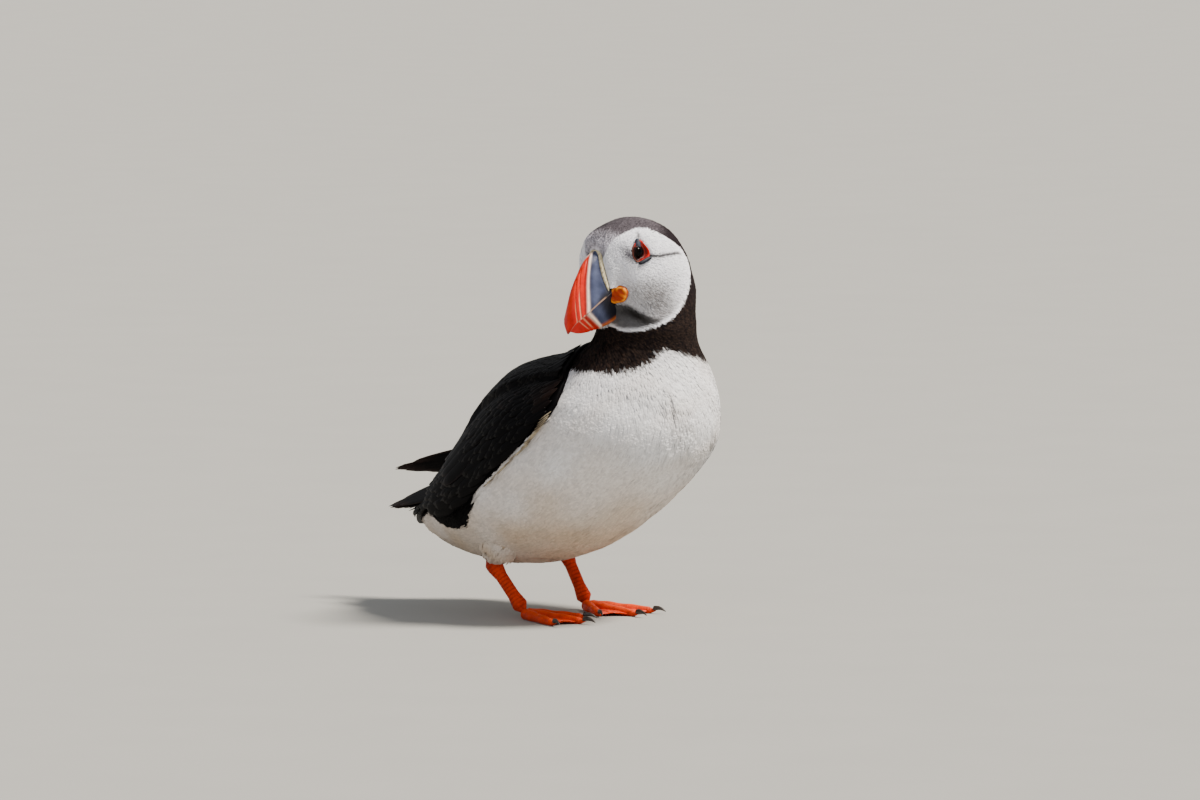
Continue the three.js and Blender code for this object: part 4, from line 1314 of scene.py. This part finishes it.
def add_primaries(side):
    """Folded primaries: narrow feathers on both faces of the dagger, the middle ones longest."""
    sign = SIDES[side]
    root, tip = place(*PRIMARY_ROOT[side]), place(*PRIMARY_TIP[side])
    across = unit(np.array([sign, 0, -1.0]))
    flat = unit(np.cross(tip - root, across))
    order = np.arange(PRIMARIES)
    from_middle = order - (PRIMARIES - 1) / 2
    reaches = 1.05 - 0.06 * np.abs(from_middle) - 0.04 * (order % 2)
    faces = [straight_vanes(root, tip, across, flat * face, from_middle * PRIMARY_SPREAD[side],
                            reaches, PRIMARY_VANE[side], 0.3 + 0.12 * order) for face in (1, -1)]
    grids = np.concatenate(faces)
    # Brown edges: partly the feathers' own brown, partly painted sheen.
    tint = vane_tint(grids, BROWN_EDGE_AND_SHEEN, np.full(len(grids), 0.7))
    add_lofts(f"primary_feathers_{side}", grids, tint, VANE, "black_feathers",
              f"primaries_{side}")


def add_tail():
    """Short round tail: a fan of feathers from the rump, the middle pair on top."""
    grids = []
    for k in np.arange(TAIL_FEATHERS) - (TAIL_FEATHERS - 1) / 2:
        root = place(1.2 * k, -48, 59.5 - 0.25 * abs(k))
        tip = place(2.1 * k, -85 + 0.14 * k * k, 46.9 - 0.06 * k * k)
        across = np.array([1.0, 0, 0])
        flat = facing(unit(np.cross(across, tip - root)), UPWARD)
        grids.append(straight_vanes(root, tip, across, flat, [0], [1], 2.9,
                                    [1.2 - 0.12 * abs(k)]))
    grids = np.concatenate(grids)
    # Brown edges: partly the feathers' own brown, partly painted sheen.
    tint = vane_tint(grids, BROWN_EDGE_AND_SHEEN, np.full(len(grids), 0.35))
    add_lofts("tail_feathers", grids, tint, VANE, "black_feathers")


# ---------------------------------------------------------------- bill

RED = linear("#C81200")
# Orange of the ridge: partly the horn's own tone, partly painted highlight.
RED_ORANGE_AND_HIGHLIGHT = linear("#DA2A02")
RED_DEEP = linear("#A01205")
RED_TIP = linear("#7E2218")
GROOVE_PALE = linear("#F0B68C")
RIDGE_PALE = linear("#EBD0BC")
SLATE = linear("#2A3048")
SLATE_LIGHT = linear("#4E5570")
SLATE_DARK = linear("#141319")
GAPE_PALE = linear("#B08E76")
KEEL_ORANGE = linear("#C9662A")
CERE_PALE = linear("#E4D8B2")
CERE_DUSK = linear("#A6946C")
CUFF_DUSK = linear("#4A3E3B")
ROSETTE_DEEP = linear("#A43000")
ROSETTE_YELLOW = linear("#EA8E00")
ROSETTE_EDGE = linear("#A84404")

# Lines on the bill by their share at the ridge, their share at the gape, and the power between.
UPPER_LINES = {"edge": (0.235, 0.52, 0.45), "first": (0.28, 0.56, 0.42),
               "second": (0.35, 0.61, 0.3), "third": (0.42, 0.69, 0.28)}
LOWER_LINES = {"edge": (0.43, 0.525, 0.6), "first": (0.47, 0.548, 0.6),
               "second": (0.515, 0.59, 0.6), "third": (0.56, 0.66, 0.6)}
# Grooves: depth, colour, and how much of that colour they take.
GROOVES = {"first": (0.4, RED_DEEP, 0.5), "second": (0.35, GROOVE_PALE, 0.75),
           "third": (0.3, GROOVE_PALE, 0.7)}
BORDER_HEIGHT = 0.35                 # of the proud border behind the grooves


def folded(angle):
    """Angle from the ridge to either side: 0 at the ridge and pi in the middle of the gape."""
    return np.where(angle <= np.pi, angle, TAU - angle)


def bill_surface(ridge, ridge_share, share, angle):
    """Upper or lower half of the bill, from its narrow round ridge out to the flat gape.

    The place goes from the ridge curve to the gape curve by a power of the angle, and the half
    width grows from the ridge's share to the full width of the bill there.
    """
    open_share = np.minimum(1, np.minimum(share / 0.04, (1 - share) / 0.03))
    fold = folded(angle)
    side = np.where(angle <= np.pi, 1, -1)
    to_gape = np.minimum(1, fold / BILL_CORNER) ** GAPE_POWER
    rounding = np.sqrt(1 - (1 - np.minimum(1, to_gape / 0.16)) ** 2)
    under = np.minimum(1, (np.pi - fold) / (np.pi - BILL_CORNER))
    half = read(BILL_HALF, share) * (ridge_share + (1 - ridge_share) * to_gape)
    top, bottom = spline(ridge, share), spline(GAPE, share)
    middle = (top + bottom) / 2
    at = middle + (top + (bottom - top) * to_gape[..., None] - middle) * open_share[..., None]
    return head_place(at[..., 0], side * half * rounding * under * open_share, at[..., 1]), to_gape


def line_share(line, to_gape):
    """Share along the bill at which a line crosses, for a place from ridge to gape."""
    low, high, power = line
    return low + (high - low) * to_gape ** power


def bill_relief(lines, share, to_gape):
    """Height of ridges and grooves: a proud border less three grooves, each a bell."""
    edge = share - line_share(lines["edge"], to_gape)
    height = BORDER_HEIGHT * bell(edge, 0, 0.022)
    for name, (deep, _, _) in GROOVES.items():
        height = height - deep * bell(share - line_share(lines[name], to_gape), 0, 0.011)
    return height * eased(share, 0.15, 0.3) * (1 - eased(share, 0.9, 0.97))


def bill_colour(lines, share, to_gape, points, lower):
    """Slate base, pale border, red front with grooves and a painted highlight along its ridge, dark
    tip, and a pale brim at the gape.

    The lower half has an orange keel.
    """
    edge = share - line_share(lines["edge"], to_gape)
    slate = mixed(SLATE, SLATE_LIGHT, bell(edge, -0.1, 0.05) * 0.7 + 0.2 * drift(points, 4, 21))
    if lower:
        slate = mixed(slate, SLATE_DARK, 0.9 * eased(-edge, 0.07, 0.2))
        slate = mixed(slate, KEEL_ORANGE, (1 - eased(to_gape, 0.12, 0.26)) * 0.9)
    else:
        slate = mixed(slate, SLATE_DARK, eased(to_gape, 0.8, 1) * eased(-edge, 0.05, 0.16))
        slate = mixed(slate, SLATE_DARK, 0.8 * eased(-edge, 0.2, 0.24) * (to_gape > 0.1))
    # More orange towards each half's ridge: partly the horn's orange, partly painted highlight along
    # the culmen.
    red = mixed(RED, RED_ORANGE_AND_HIGHLIGHT, 0.7 * (1 - eased(to_gape, 0.02, 0.22)) + 0.25 * drift(points, 6, 22))
    red = mixed(red, RED_DEEP, 0.7 * bell(edge, 0.045, 0.03))
    red = mixed(red, RED_TIP, eased(share, 0.86, 0.98) * 0.85)
    for name, (_, groove, amount) in GROOVES.items():
        gap = share - line_share(lines[name], to_gape)
        red = mixed(red, groove, amount * bell(gap, 0, 0.009) * eased(to_gape, 0.1, 0.4))
    colour = mixed(slate, red, eased(edge, 0.008, 0.02))
    colour = mixed(colour, RIDGE_PALE, bell(edge, 0, 0.018))
    brim = eased(to_gape, 0.968, 0.985) * eased(share, 0.3, 0.34)
    return mixed(colour, GAPE_PALE, 0.8 * brim)


def add_bill_half(name, ridge, ridge_share, lines, lower):
    """Upper or lower mandible with its relief, pushed out along its own normal."""
    share, angle = grid_of(220, 160)
    grid, to_gape = bill_surface(ridge, ridge_share, share, angle)
    along = np.gradient(grid, axis=0)
    around = (np.roll(grid, -1, 1) - np.roll(grid, 1, 1)) / 2
    normal = facing(unit(np.cross(around, along)), grid - grid.mean(1, keepdims=True))
    relief = bill_relief(lines, share, to_gape) * (folded(angle) < BILL_CORNER)
    grid = closed(grid + normal * relief[..., None])
    tint = bill_colour(lines, share, to_gape, grid, lower)
    add_lofts(name, grid, tint, HORN, "bill_horn", "bill_lower" if lower else "bill_upper")


def bill_base_line(rows):
    """Line round the bill's base from one end of the gape over the ridge to the other.

    Gives the run along the line from -1 to 1, the place from ridge to gape, the points, and the
    directions forward and outward.
    """
    run = np.linspace(-1, 1, rows)
    to_gape = np.abs(run) ** 0.8 * 0.93
    fold = BILL_CORNER * to_gape ** (1 / GAPE_POWER)
    angle = np.where(run >= 0, fold, TAU - fold)
    shares = read(CERE_SHARE, to_gape)
    path, _ = bill_surface(CULMEN, CULMEN_SHARE, shares, angle)
    ahead, _ = bill_surface(CULMEN, CULMEN_SHARE, shares + 0.02, angle)
    forward = unit(ahead - path)
    normal = unit(np.cross(unit(np.gradient(path, axis=0)), forward))
    normal = facing(normal, path - head_place(15, 0, -2))
    return run, to_gape, path, forward, normal


def add_cere():
    """Pitted band round the bill's base: a flat oval carried along the base line."""
    run, to_gape, path, forward, normal = bill_base_line(120)
    ends = closing(run, 6)
    wide = read(CERE_HALF, to_gape) * ends
    turn = turns(20)
    flat = np.sign(np.cos(turn)) * np.abs(np.cos(turn)) ** 0.7
    pits = 0.06 * drift(path[:, None] + turn[None, :, None], 1.0, 30)
    grid = (path[:, None] + forward[:, None] * (wide[:, None] * flat)[..., None]
            + normal[:, None] * ((CERE_PROUD * ends[:, None] + pits) * np.sin(turn))[..., None])
    grid = closed(grid)
    tint = mixed(CERE_PALE, CERE_DUSK, 0.4 + 0.5 * drift(grid, 1.4, 31))
    add_lofts("cere_band", grid, tint, WAX, "cere_skin", "cere")


CUFF_REACH = 7.5                     # how far the feathered cuff spreads out over the face
CUFF_RING = 13.0                     # ring of the head whose plumage and unwrap the cuff takes
CUFF_STEPS = 240                     # points of the line from which the cuff starts
CUFF_MIDDLE = -3                     # height, in the head's frame, from which it spreads out


def cuff_surface(share, across):
    """Feathered fillet from the rear edge of the band at the bill's base back to the face.

    It goes straight from a point of the band's rear edge to a point of the face further out
    from the bill's middle, with a low arch between them.
    """
    _, to_gape, path, forward, normal = bill_base_line(CUFF_STEPS)
    start = path - forward * 0.8 * read(CERE_HALF, to_gape)[:, None] + normal * 0.35
    _, left, up = head_read(start)
    over = up - CUFF_MIDDLE
    far = np.maximum(np.hypot(left, over), 1e-6)
    reach = CUFF_REACH * (1 - 0.6 * eased(to_gape, 0.6, 0.85)) / far
    end_left, end_up = left * (1 + reach), up + over * reach
    end = head_place(face_front(end_left, end_up) - 0.6, end_left, end_up)
    at = (0.02 + 0.96 * share) * (CUFF_STEPS - 1)
    steps = np.arange(CUFF_STEPS)
    start, end = (np.stack([np.interp(at, steps, line[:, k]) for k in range(3)], -1)
                  for line in (start, end))
    arch = HEAD_FORWARD * (0.5 * np.sin(np.pi * across))[..., None]
    return start + (end - start) * across[..., None] + arch


def cuff_tint(points, across, streak):
    """Face and forehead colours, with a dark line where the feathers meet the waxy band."""
    forward, left, up = head_read(points)
    ring = np.full(points.shape[:-1], CUFF_RING)
    tint = plumage(points, ring, np.arctan2(left, forward), streak)
    return mixed(tint, CUFF_DUSK, 0.75 * (1 - eased(across, 0.05, 0.25)) * eased(up, -7, -4))


def add_cuff():
    """Short feathers that meet the bill's base, on their own strip of skin."""
    rows, half = 160, 9
    share = np.linspace(0, 1, rows)[:, None] * np.ones(2 * half)
    across = np.concatenate([np.linspace(0, 1, half), np.linspace(1, 0, half)]) * np.ones((rows, 1))
    sunk = np.concatenate([np.zeros(half), np.full(half, 1.4)])
    grid = cuff_surface(share, across) - HEAD_FORWARD * sunk[:, None]
    tint = cuff_tint(grid, across, 0 * across)
    parts, tints = [lofts(closed(grid))], [unrolled(tint)]
    count = int(CUFF_TUFTS * DENSITY)
    share, across = rng.uniform(0.01, 0.99, count), rng.uniform(0, 0.95, count)
    step = 1e-3
    point = cuff_surface(share, across)
    along = cuff_surface(share + step, across) - cuff_surface(share - step, across)
    way = unit(cuff_surface(share, across + step) - cuff_surface(share, across - step))
    normal = facing(unit(np.cross(along, way)), HEAD_FORWARD)
    full = np.ones(count)
    grids = tuft_grids(point, normal, way, rng.uniform(1.3, 2.1, count), 0.34 * full,
                       ROOT_DEPTH * full, -0.25 * full, 0.1 * rng.normal(size=count), 0.05 * full)
    tint = cuff_tint(point + way, across + 0.2, np.clip(0.5 * rng.normal(size=count), -1, 1))
    parts.append(lofts(grids))
    tints.append(unrolled(tint[:, None, None] * np.ones((1, 4, 3, 1))))
    points, faces = joined(parts)
    forward, left, _ = head_read(points)
    uv = unwrapped(np.full(len(points), CUFF_RING), np.arctan2(left, forward))
    new_piece("cuff_feathers", points, faces, np.concatenate(tints), FEATHER, uv)


def add_rosette(side):
    """Fleshy rosette: a cushion whose front is folded in wrinkles inside a raised rim."""
    sign = SIDES[side]
    share, angle = grid_of(90, 120)
    r = np.sin(np.pi * share)
    front = share < 0.5
    forward, left, up = ROSETTE_PLACE
    wide = ROSETTE_RADIUS * (1 + 0.05 * np.sin(2 * angle + 0.6) + 0.03 * np.sin(5 * angle))
    wide = wide * (1 + 0.14 * np.abs(np.cos(angle)))
    x, y = r * np.cos(angle), r * np.sin(angle)
    folds = np.sin(7 * (x + 0.5 * np.sin(2.3 * y + 1)) + 2) * np.sin(5 * y + 2.6 * np.sin(2 * x + 0.6))
    rim = bell(r, 0.82, 0.13)
    out = ROSETTE_DEPTH * np.cos(np.pi * share)
    out = out + front * (0.35 * rim + 0.34 * folds * (1 - eased(r, 0.6, 0.9)) - 0.45 * (1 - r) ** 0.8)
    facing = np.radians(ROSETTE_FACING)
    grid = head_place(forward + out * np.cos(facing) - wide * x * np.sin(facing),
                      sign * (left + out * np.sin(facing) + wide * x * np.cos(facing)),
                      up + wide * y)
    # Painted shade on the folds: their crests lighter, their hollows a deeper orange; the yellow rim
    # is its own colour.
    tint = mixed(ROSETTE_DEEP, ROSETTE_YELLOW, 0.85 * rim + 0.4 * folds)
    tint = mixed(tint, ROSETTE_EDGE, eased(r, 0.93, 1.0))
    add_lofts(f"rosette_fold_{side}", closed(grid), tint, GAPE_SKIN, "rosette_skin",
              f"rosette_{side}")


# ---------------------------------------------------------------- eyes

PUPIL = linear("#020203")
IRIS = linear("#0A0504")
# Painted shade of the rim's channel and of its slope before the ridge.
RIM_CHANNEL_SHADE = linear("#140403")
RIM_RED = linear("#5A0C06")
RIM_LID = linear("#8A1A0E")
RIM_RIDGE = linear("#D01604")
RIM_FRONT = linear("#8C5444")
PLATE_DARK = linear("#181C28")
PLATE_BLUE = linear("#3E475C")

# Section of the rim: points once round, share of them that faces out, depth underneath.
RIM_SECTION, RIM_OUTSIDE, RIM_DEEP = 14, 0.64, 1.3
# Plates by the eye: start and end as (forward, up), half width at start and end, height, shade.
EYE_PLATES = {"upper": ((11.9, 12.4), (9.8, 16.0), 1.45, 0.95, 0.7, 0.6),
              "lower": ((14.8, 5.4), (7.3, 6.7), 0.9, 0.9, 0.7, 0.35)}
PLATE_OFF = 0.25                     # how far the middle of a plate stands off the face


def add_eye(side):
    """Eyeball: a ball with a black pupil in a very dark brown iris."""
    sign = SIDES[side]
    share, angle = grid_of(48, 48)
    out = EYE_RADIUS * np.cos(np.pi * share)
    flat = EYE_RADIUS * np.sin(np.pi * share)
    forward, left, up = EYE_PLACE
    grid = head_place(forward + flat * np.cos(angle), sign * (left + out), up + flat * np.sin(angle))
    r = flat / EYE_RADIUS
    tint = mixed(PUPIL, IRIS, eased(r, 0.42, 0.5))
    add_lofts(f"eyeball_{side}", grid, tint, CORNEA, "eye", f"eye_{side}")


def add_eye_rim(side):
    """Bare red rim round the eye: a ring whose section goes from the lid on the ball, through a
    dark channel, up to the outer ridge on the face, and back underneath. The channel and the
    dark red slope before the ridge are painted shade."""
    sign = SIDES[side]
    section = np.linspace(0, 1, RIM_SECTION, endpoint=False)
    turn = turns(120)
    over = np.minimum(section / RIM_OUTSIDE, 1)
    back = np.clip((section - RIM_OUTSIDE) / (1 - RIM_OUTSIDE), 0, 1)
    outer = eye_rim(turn)[:, None]
    r = LID_RADIUS + (outer - LID_RADIUS) * (over * (1 - back))[None]
    ball = EYE_PLACE[1] + np.sqrt(EYE_RADIUS ** 2 - LID_RADIUS ** 2)
    ahead, above = EYE_PLACE[0] + r * np.cos(turn)[:, None], EYE_PLACE[2] + r * np.sin(turn)[:, None]
    face = face_side(ahead, above)
    way = (r - LID_RADIUS) / (outer - LID_RADIUS)
    cover = EYE_PLACE[1] + np.sqrt(np.maximum(EYE_RADIUS ** 2 - r ** 2, 0)) + 0.12
    level = np.maximum(ball * (1 - way) + (face - 0.1) * way, cover)
    lid = 0.22 * bell(over, 0.1, 0.12) + 0.45 * bell(over, 0.86, 0.12) - 0.15 * bell(over, 0.45, 0.2)
    level = level + lid[None] - RIM_DEEP * np.sin(np.pi * back)[None]
    grid = head_place(ahead, sign * level, above)
    rear = (0.05 + 0.95 * eased(-np.cos(turn), -0.6, 0.1))[:, None]
    # Painted shade: near black in the channel by the ball, dark red up the slope before the ridge.
    tint = mixed(RIM_CHANNEL_SHADE, RIM_RED, eased(over, 0.12, 0.4)[None] * rear)
    ridge = mixed(RIM_FRONT, RIM_RIDGE, rear)
    tint = mixed(tint, ridge, bell(over, 0.84, 0.13)[None] * (0.6 + 0.4 * rear))
    tint = mixed(tint, RIM_LID, 0.7 * bell(over, 0.3, 0.07)[None] * rear)
    tint = mixed(tint, EYE_SHADE, eased(back, 0.02, 0.2)[None] * np.ones((len(turn), 1)))
    points, faces = ringed(grid)
    new_piece(f"eye_rim_{side}", points, faces, tint.reshape(-1, 3), GAPE_SKIN)


def add_eye_plate(name, side):
    """Horn plate on the face: an oval pad along a line, with a half width for each of its ends."""
    start, end, half_start, half_end, high, shade = EYE_PLATES[name]
    sign = SIDES[side]
    share, angle = grid_of(40, 24)
    ends = closing(2 * share - 1, 4)
    half = (half_start + (half_end - half_start) * share) * ends
    span = np.array(end) - np.array(start)
    side_way = np.array([-span[1], span[0]]) / np.linalg.norm(span)
    ahead = start[0] + span[0] * share + side_way[0] * half * np.cos(angle)
    above = start[1] + span[1] * share + side_way[1] * half * np.cos(angle)
    level = face_side(ahead, above) + PLATE_OFF + high * ends * np.sin(angle)
    grid = closed(head_place(ahead, sign * level, above))
    tint = shade * mixed(PLATE_DARK, PLATE_BLUE, 0.35 + 0.4 * drift(grid, 2, 41))
    add_lofts(f"eye_horn_{name}_{side}", grid, tint, PLATE, "eye_plate",
              f"eye_plate_{name}_{side}")


# ---------------------------------------------------------------- legs and feet

ORANGE = linear("#D43804")
ORANGE_DEEP = linear("#8C1804")
# Paler orange: a painted highlight on the tops of the toes.
ORANGE_TOP_HIGHLIGHT = linear("#EA5A16")
WEB_DEEP = linear("#C22A08")
WEB_BRIGHT = linear("#EE4712")
CLAW_DARK = linear("#17130F")
CLAW_BROWN = linear("#3A2E26")


def add_tarsus(side):
    """Lower leg: a round limb ringed with broad scutes, and creased at the ankle."""
    ankle, joint = place(*LEG_ANKLE[side]), place(*LEG_JOINT[side])
    past = unit(joint - ankle) * KNOB
    radii = [(0, KNOB), (0.22, KNOB), (0.38, SHAFT), (0.68, SHAFT), (0.86, FOOT), (1, FOOT)]
    share, angle = grid_of(110, 48)
    wave = np.abs(np.sin(share * np.pi * TARSUS_SCUTES))
    scute = 0.14 * wave ** 0.5 - 0.08
    crease = 0.12 * np.sin(angle * 5 + 9 * share) * bell(share, 0.12, 0.12)
    plain = limb(ankle - past, joint + past, radii, share, angle)
    axis = (ankle - past) + (joint + 2 * past - ankle)[None, None] * share[..., None]
    out = unit(plain - axis)
    grid = plain + out * ((scute + crease) * round_ends(share, 3))[..., None]
    grid[..., 2] = np.maximum(grid[..., 2], 0)
    grid = closed(grid)
    tint = mixed(ORANGE, ORANGE_DEEP, 0.8 * (1 - wave) ** 2 + 0.3 * drift(grid, 6, 51))
    # Painted shade: darker at the ankle's crease, under the thigh feathers.
    tint = mixed(tint, ORANGE_DEEP, 0.6 * bell(share, 0.1, 0.14))
    add_lofts(f"leg_{side}", grid, tint, SCALY, "leg_scales", f"tarsus_{side}")


def toe_line(side, toe, share):
    """Middle, direction and radius of a toe: straight out from the joint, with low knuckles."""
    degrees, length, _ = TOES[toe]
    turn = np.radians(LEG_TURN[side] + degrees)
    direction = np.array([SIDES[side] * np.sin(turn), -np.cos(turn), 0])
    radius = TOE_RADIUS + (TOE_TIP - TOE_RADIUS) * share
    middle = place(*LEG_JOINT[side]) + direction * (length * share)[..., None]
    middle[..., 2] = radius - TOE_SOLE
    return middle, direction, radius * (1 + 0.07 * np.cos(6 * np.pi * share))


def add_toe(side, toe):
    """Toe with scutes over its top; its sole is flat on the floor."""
    length = TOES[toe][1]
    share, angle = grid_of(150, 36)
    middle, direction, radius = toe_line(side, toe, share)
    across = np.cross(direction, UPWARD)
    wave = np.abs(np.sin(share * np.pi * length / TOE_SCUTE)) ** 0.5
    radius = (radius + 0.13 * (wave - 0.7) * (np.sin(angle) > 0)) * round_ends(share, 3)
    grid = middle + across * (radius * np.cos(angle))[..., None]
    grid[..., 2] = np.maximum(grid[..., 2] + radius * np.sin(angle), 0)
    grid = closed(grid)
    tint = mixed(ORANGE, ORANGE_DEEP, 0.7 * (1 - wave) ** 2 + 0.3 * drift(grid, 5, 52))
    # Painted highlight: paler on the toe's top and on the crests of its scutes.
    tint = mixed(tint, ORANGE_TOP_HIGHLIGHT, 0.4 * eased(np.sin(angle), 0.5, 1) * wave)
    add_lofts(f"toe_skin_{toe}_{side}", grid, tint, SCALY, "leg_scales", f"toe_{toe}_{side}")


def add_claw(side, toe):
    """Curved claw: an oval section that narrows as the square root of the way left to its tip."""
    share, angle = grid_of(40, 24)
    middle, direction, _ = toe_line(side, toe, np.ones_like(share))
    across = np.cross(direction, UPWARD)
    radius = CLAW_RADIUS * np.sqrt(1 - share) * np.minimum(1, share / 0.1)
    rise = 0.9 + 1.1 * np.sin(np.pi * share * 0.7) - 1.9 * share ** 2
    reach = (TOES[toe][2] + 2) * share - 2
    grid = middle + direction * reach[..., None] + across * (0.8 * radius * np.cos(angle))[..., None]
    grid[..., 2] = np.maximum(grid[..., 2] + rise + radius * np.sin(angle), 0)
    grid = closed(grid)
    tint = mixed(CLAW_DARK, CLAW_BROWN, 0.4 + 0.5 * drift(grid, 2, 61))
    add_lofts(f"claw_horn_{toe}_{side}", grid, tint, CLAW, "claw_horn", f"claw_{toe}_{side}")


def add_web(side, toe):
    """Web between the middle toe and a side toe: a thin closed sheet, drawn in at its free edge,
    with folds that fan out from the joint."""
    columns = 60
    share, across = np.meshgrid(np.linspace(0.02, 1, 60), np.linspace(-1, 1, columns),
                                indexing="ij")
    t = (across + 1) / 2
    reach = 0.93 * share * (1 - WEB_INSET * 4 * t * (1 - t))
    inner, outer = toe_line(side, "middle", reach)[0], toe_line(side, toe, reach)[0]
    sheet = inner + (outer - inner) * t[..., None]
    folds = (0.22 * np.sin(7 * np.pi * t + 2.2 * share) + 0.12 * np.sin(17 * np.pi * t)) * share
    arch = 0.6 * np.sin(np.pi * t) * share
    creases = 0.08 * drift(sheet, 2.4, 71)
    thin = 1 - 0.45 * eased(share, 0.85, 1)
    top, bottom = sheet.copy(), sheet.copy()
    top[..., 2] = WEB_UNDER + WEB_THICKNESS * thin + arch + folds * np.sin(np.pi * t) + creases
    bottom[..., 2] = np.maximum(WEB_UNDER + arch, 0)
    grid = np.concatenate([top, bottom[:, ::-1]], 1)
    edge = (grid[-1:, :columns] + grid[-1:, :columns - 1:-1]) / 2
    edge = np.concatenate([edge, edge[:, ::-1]], 1)
    grid = closed(np.concatenate([grid[:1], grid, edge, edge]))
    shade = 0.5 + 0.9 * np.concatenate([folds, folds[:, ::-1]], 1)
    shade = np.concatenate([shade[:1], shade, shade[-1:], shade[-1:]])
    tint = mixed(WEB_DEEP, WEB_BRIGHT, shade + 0.3 * drift(grid, 7, 72))
    add_lofts(f"web_skin_{toe}_{side}", grid, tint, WEB, "web_skin", f"web_{toe}_{side}")


# ---------------------------------------------------------------- shown solids, floor and light

FLOOR_HALF = 16000
FLOOR_GREY = linear("#9C9B96")
# Lamps: direction in which they stand, apparent width in degrees, strength, colour.
LAMPS = {"key": ((0.24, -0.5, 0.84), 14, 8.6, "#FFF7EC"),
         "fill": ((-0.9, -0.4, 0.4), 60, 0.5, "#E6EEFF")}
SURROUND, SURROUND_STRENGTH = linear("#E9EBEE"), 0.55


def dress_solids():
    """Dark vane material on the tail's solid, which lies under its feathers."""
    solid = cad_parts["tail"]
    add_tint(solid.data, BLACK)
    solid.data.materials.clear()
    solid.data.materials.append(VANE)


def add_floor():
    """Pale level floor, large enough to fill the view behind the bird."""
    points = FLOOR_HALF * np.array([(-1, -1, 0), (1, -1, 0), (1, 1, 0), (-1, 1, 0)], float)
    mesh = bpy.data.meshes.new("floor")
    mesh.from_pydata((points * MM).tolist(), [], [(0, 1, 2, 3)])
    add_tint(mesh, FLOOR_GREY)
    mesh.materials.append(pale_floor())
    floor = shown("floor", mesh)


def add_light(name, toward, spread, strength, colour):
    """Even soft light from a direction; spread is its apparent width in degrees."""
    lamp = bpy.data.lights.new(name, "SUN")
    lamp.angle = np.radians(spread)
    lamp.energy = strength
    lamp.color = linear(colour)
    holder = shown(name, lamp)
    holder.rotation_euler = Vector(toward).to_track_quat("Z", "Y").to_euler()


def add_studio():
    """Soft key from high over the bird's front, a broad fill, and a pale surround."""
    for name, lamp in LAMPS.items():
        add_light(name, *lamp)
    world = bpy.data.worlds.new("studio")
    world.use_nodes = True
    surround = world.node_tree.nodes["Background"]
    surround.inputs["Color"].default_value = (*SURROUND, 1)
    surround.inputs["Strength"].default_value = SURROUND_STRENGTH
    bpy.context.scene.world = world


# ---------------------------------------------------------------- the bird

FEATHER = soft_feathers()
VANE = flight_feathers()
HORN = bill_keratin()
WAX = wax_skin()
GAPE_SKIN = gape_skin()
CORNEA = cornea()
PLATE = plate_horn()
SCALY = scaly_leg()
WEB = web_membrane()
CLAW = claw_keratin()

DENSITY = 1.0            # share of the small feathers that is made

add_skin()
add_coat("body_feathers", int(BODY_TUFTS * DENSITY), COAT_START, HEAD_COAT,
         body_look, FEATHER)
add_coat("head_feathers", int(HEAD_TUFTS * DENSITY), HEAD_COAT, COAT_END,
         head_look, FEATHER)
add_bill_half("bill_sheath_upper", CULMEN, CULMEN_SHARE, UPPER_LINES, False)
add_bill_half("bill_sheath_lower", KEEL, KEEL_SHARE, LOWER_LINES, True)
add_cere()
add_cuff()
add_tail()
for side in SIDES:
    add_thigh_feathers(side)
    add_wing_base(side)
    add_wing(side)
    add_primaries(side)
    add_rosette(side)
    add_eye(side)
    add_eye_rim(side)
    for plate in EYE_PLATES:
        add_eye_plate(plate, side)
    add_tarsus(side)
    for toe in TOES:
        add_toe(side, toe)
        add_claw(side, toe)
        if toe != "middle":
            add_web(side, toe)
dress_solids()
add_floor()
add_studio()
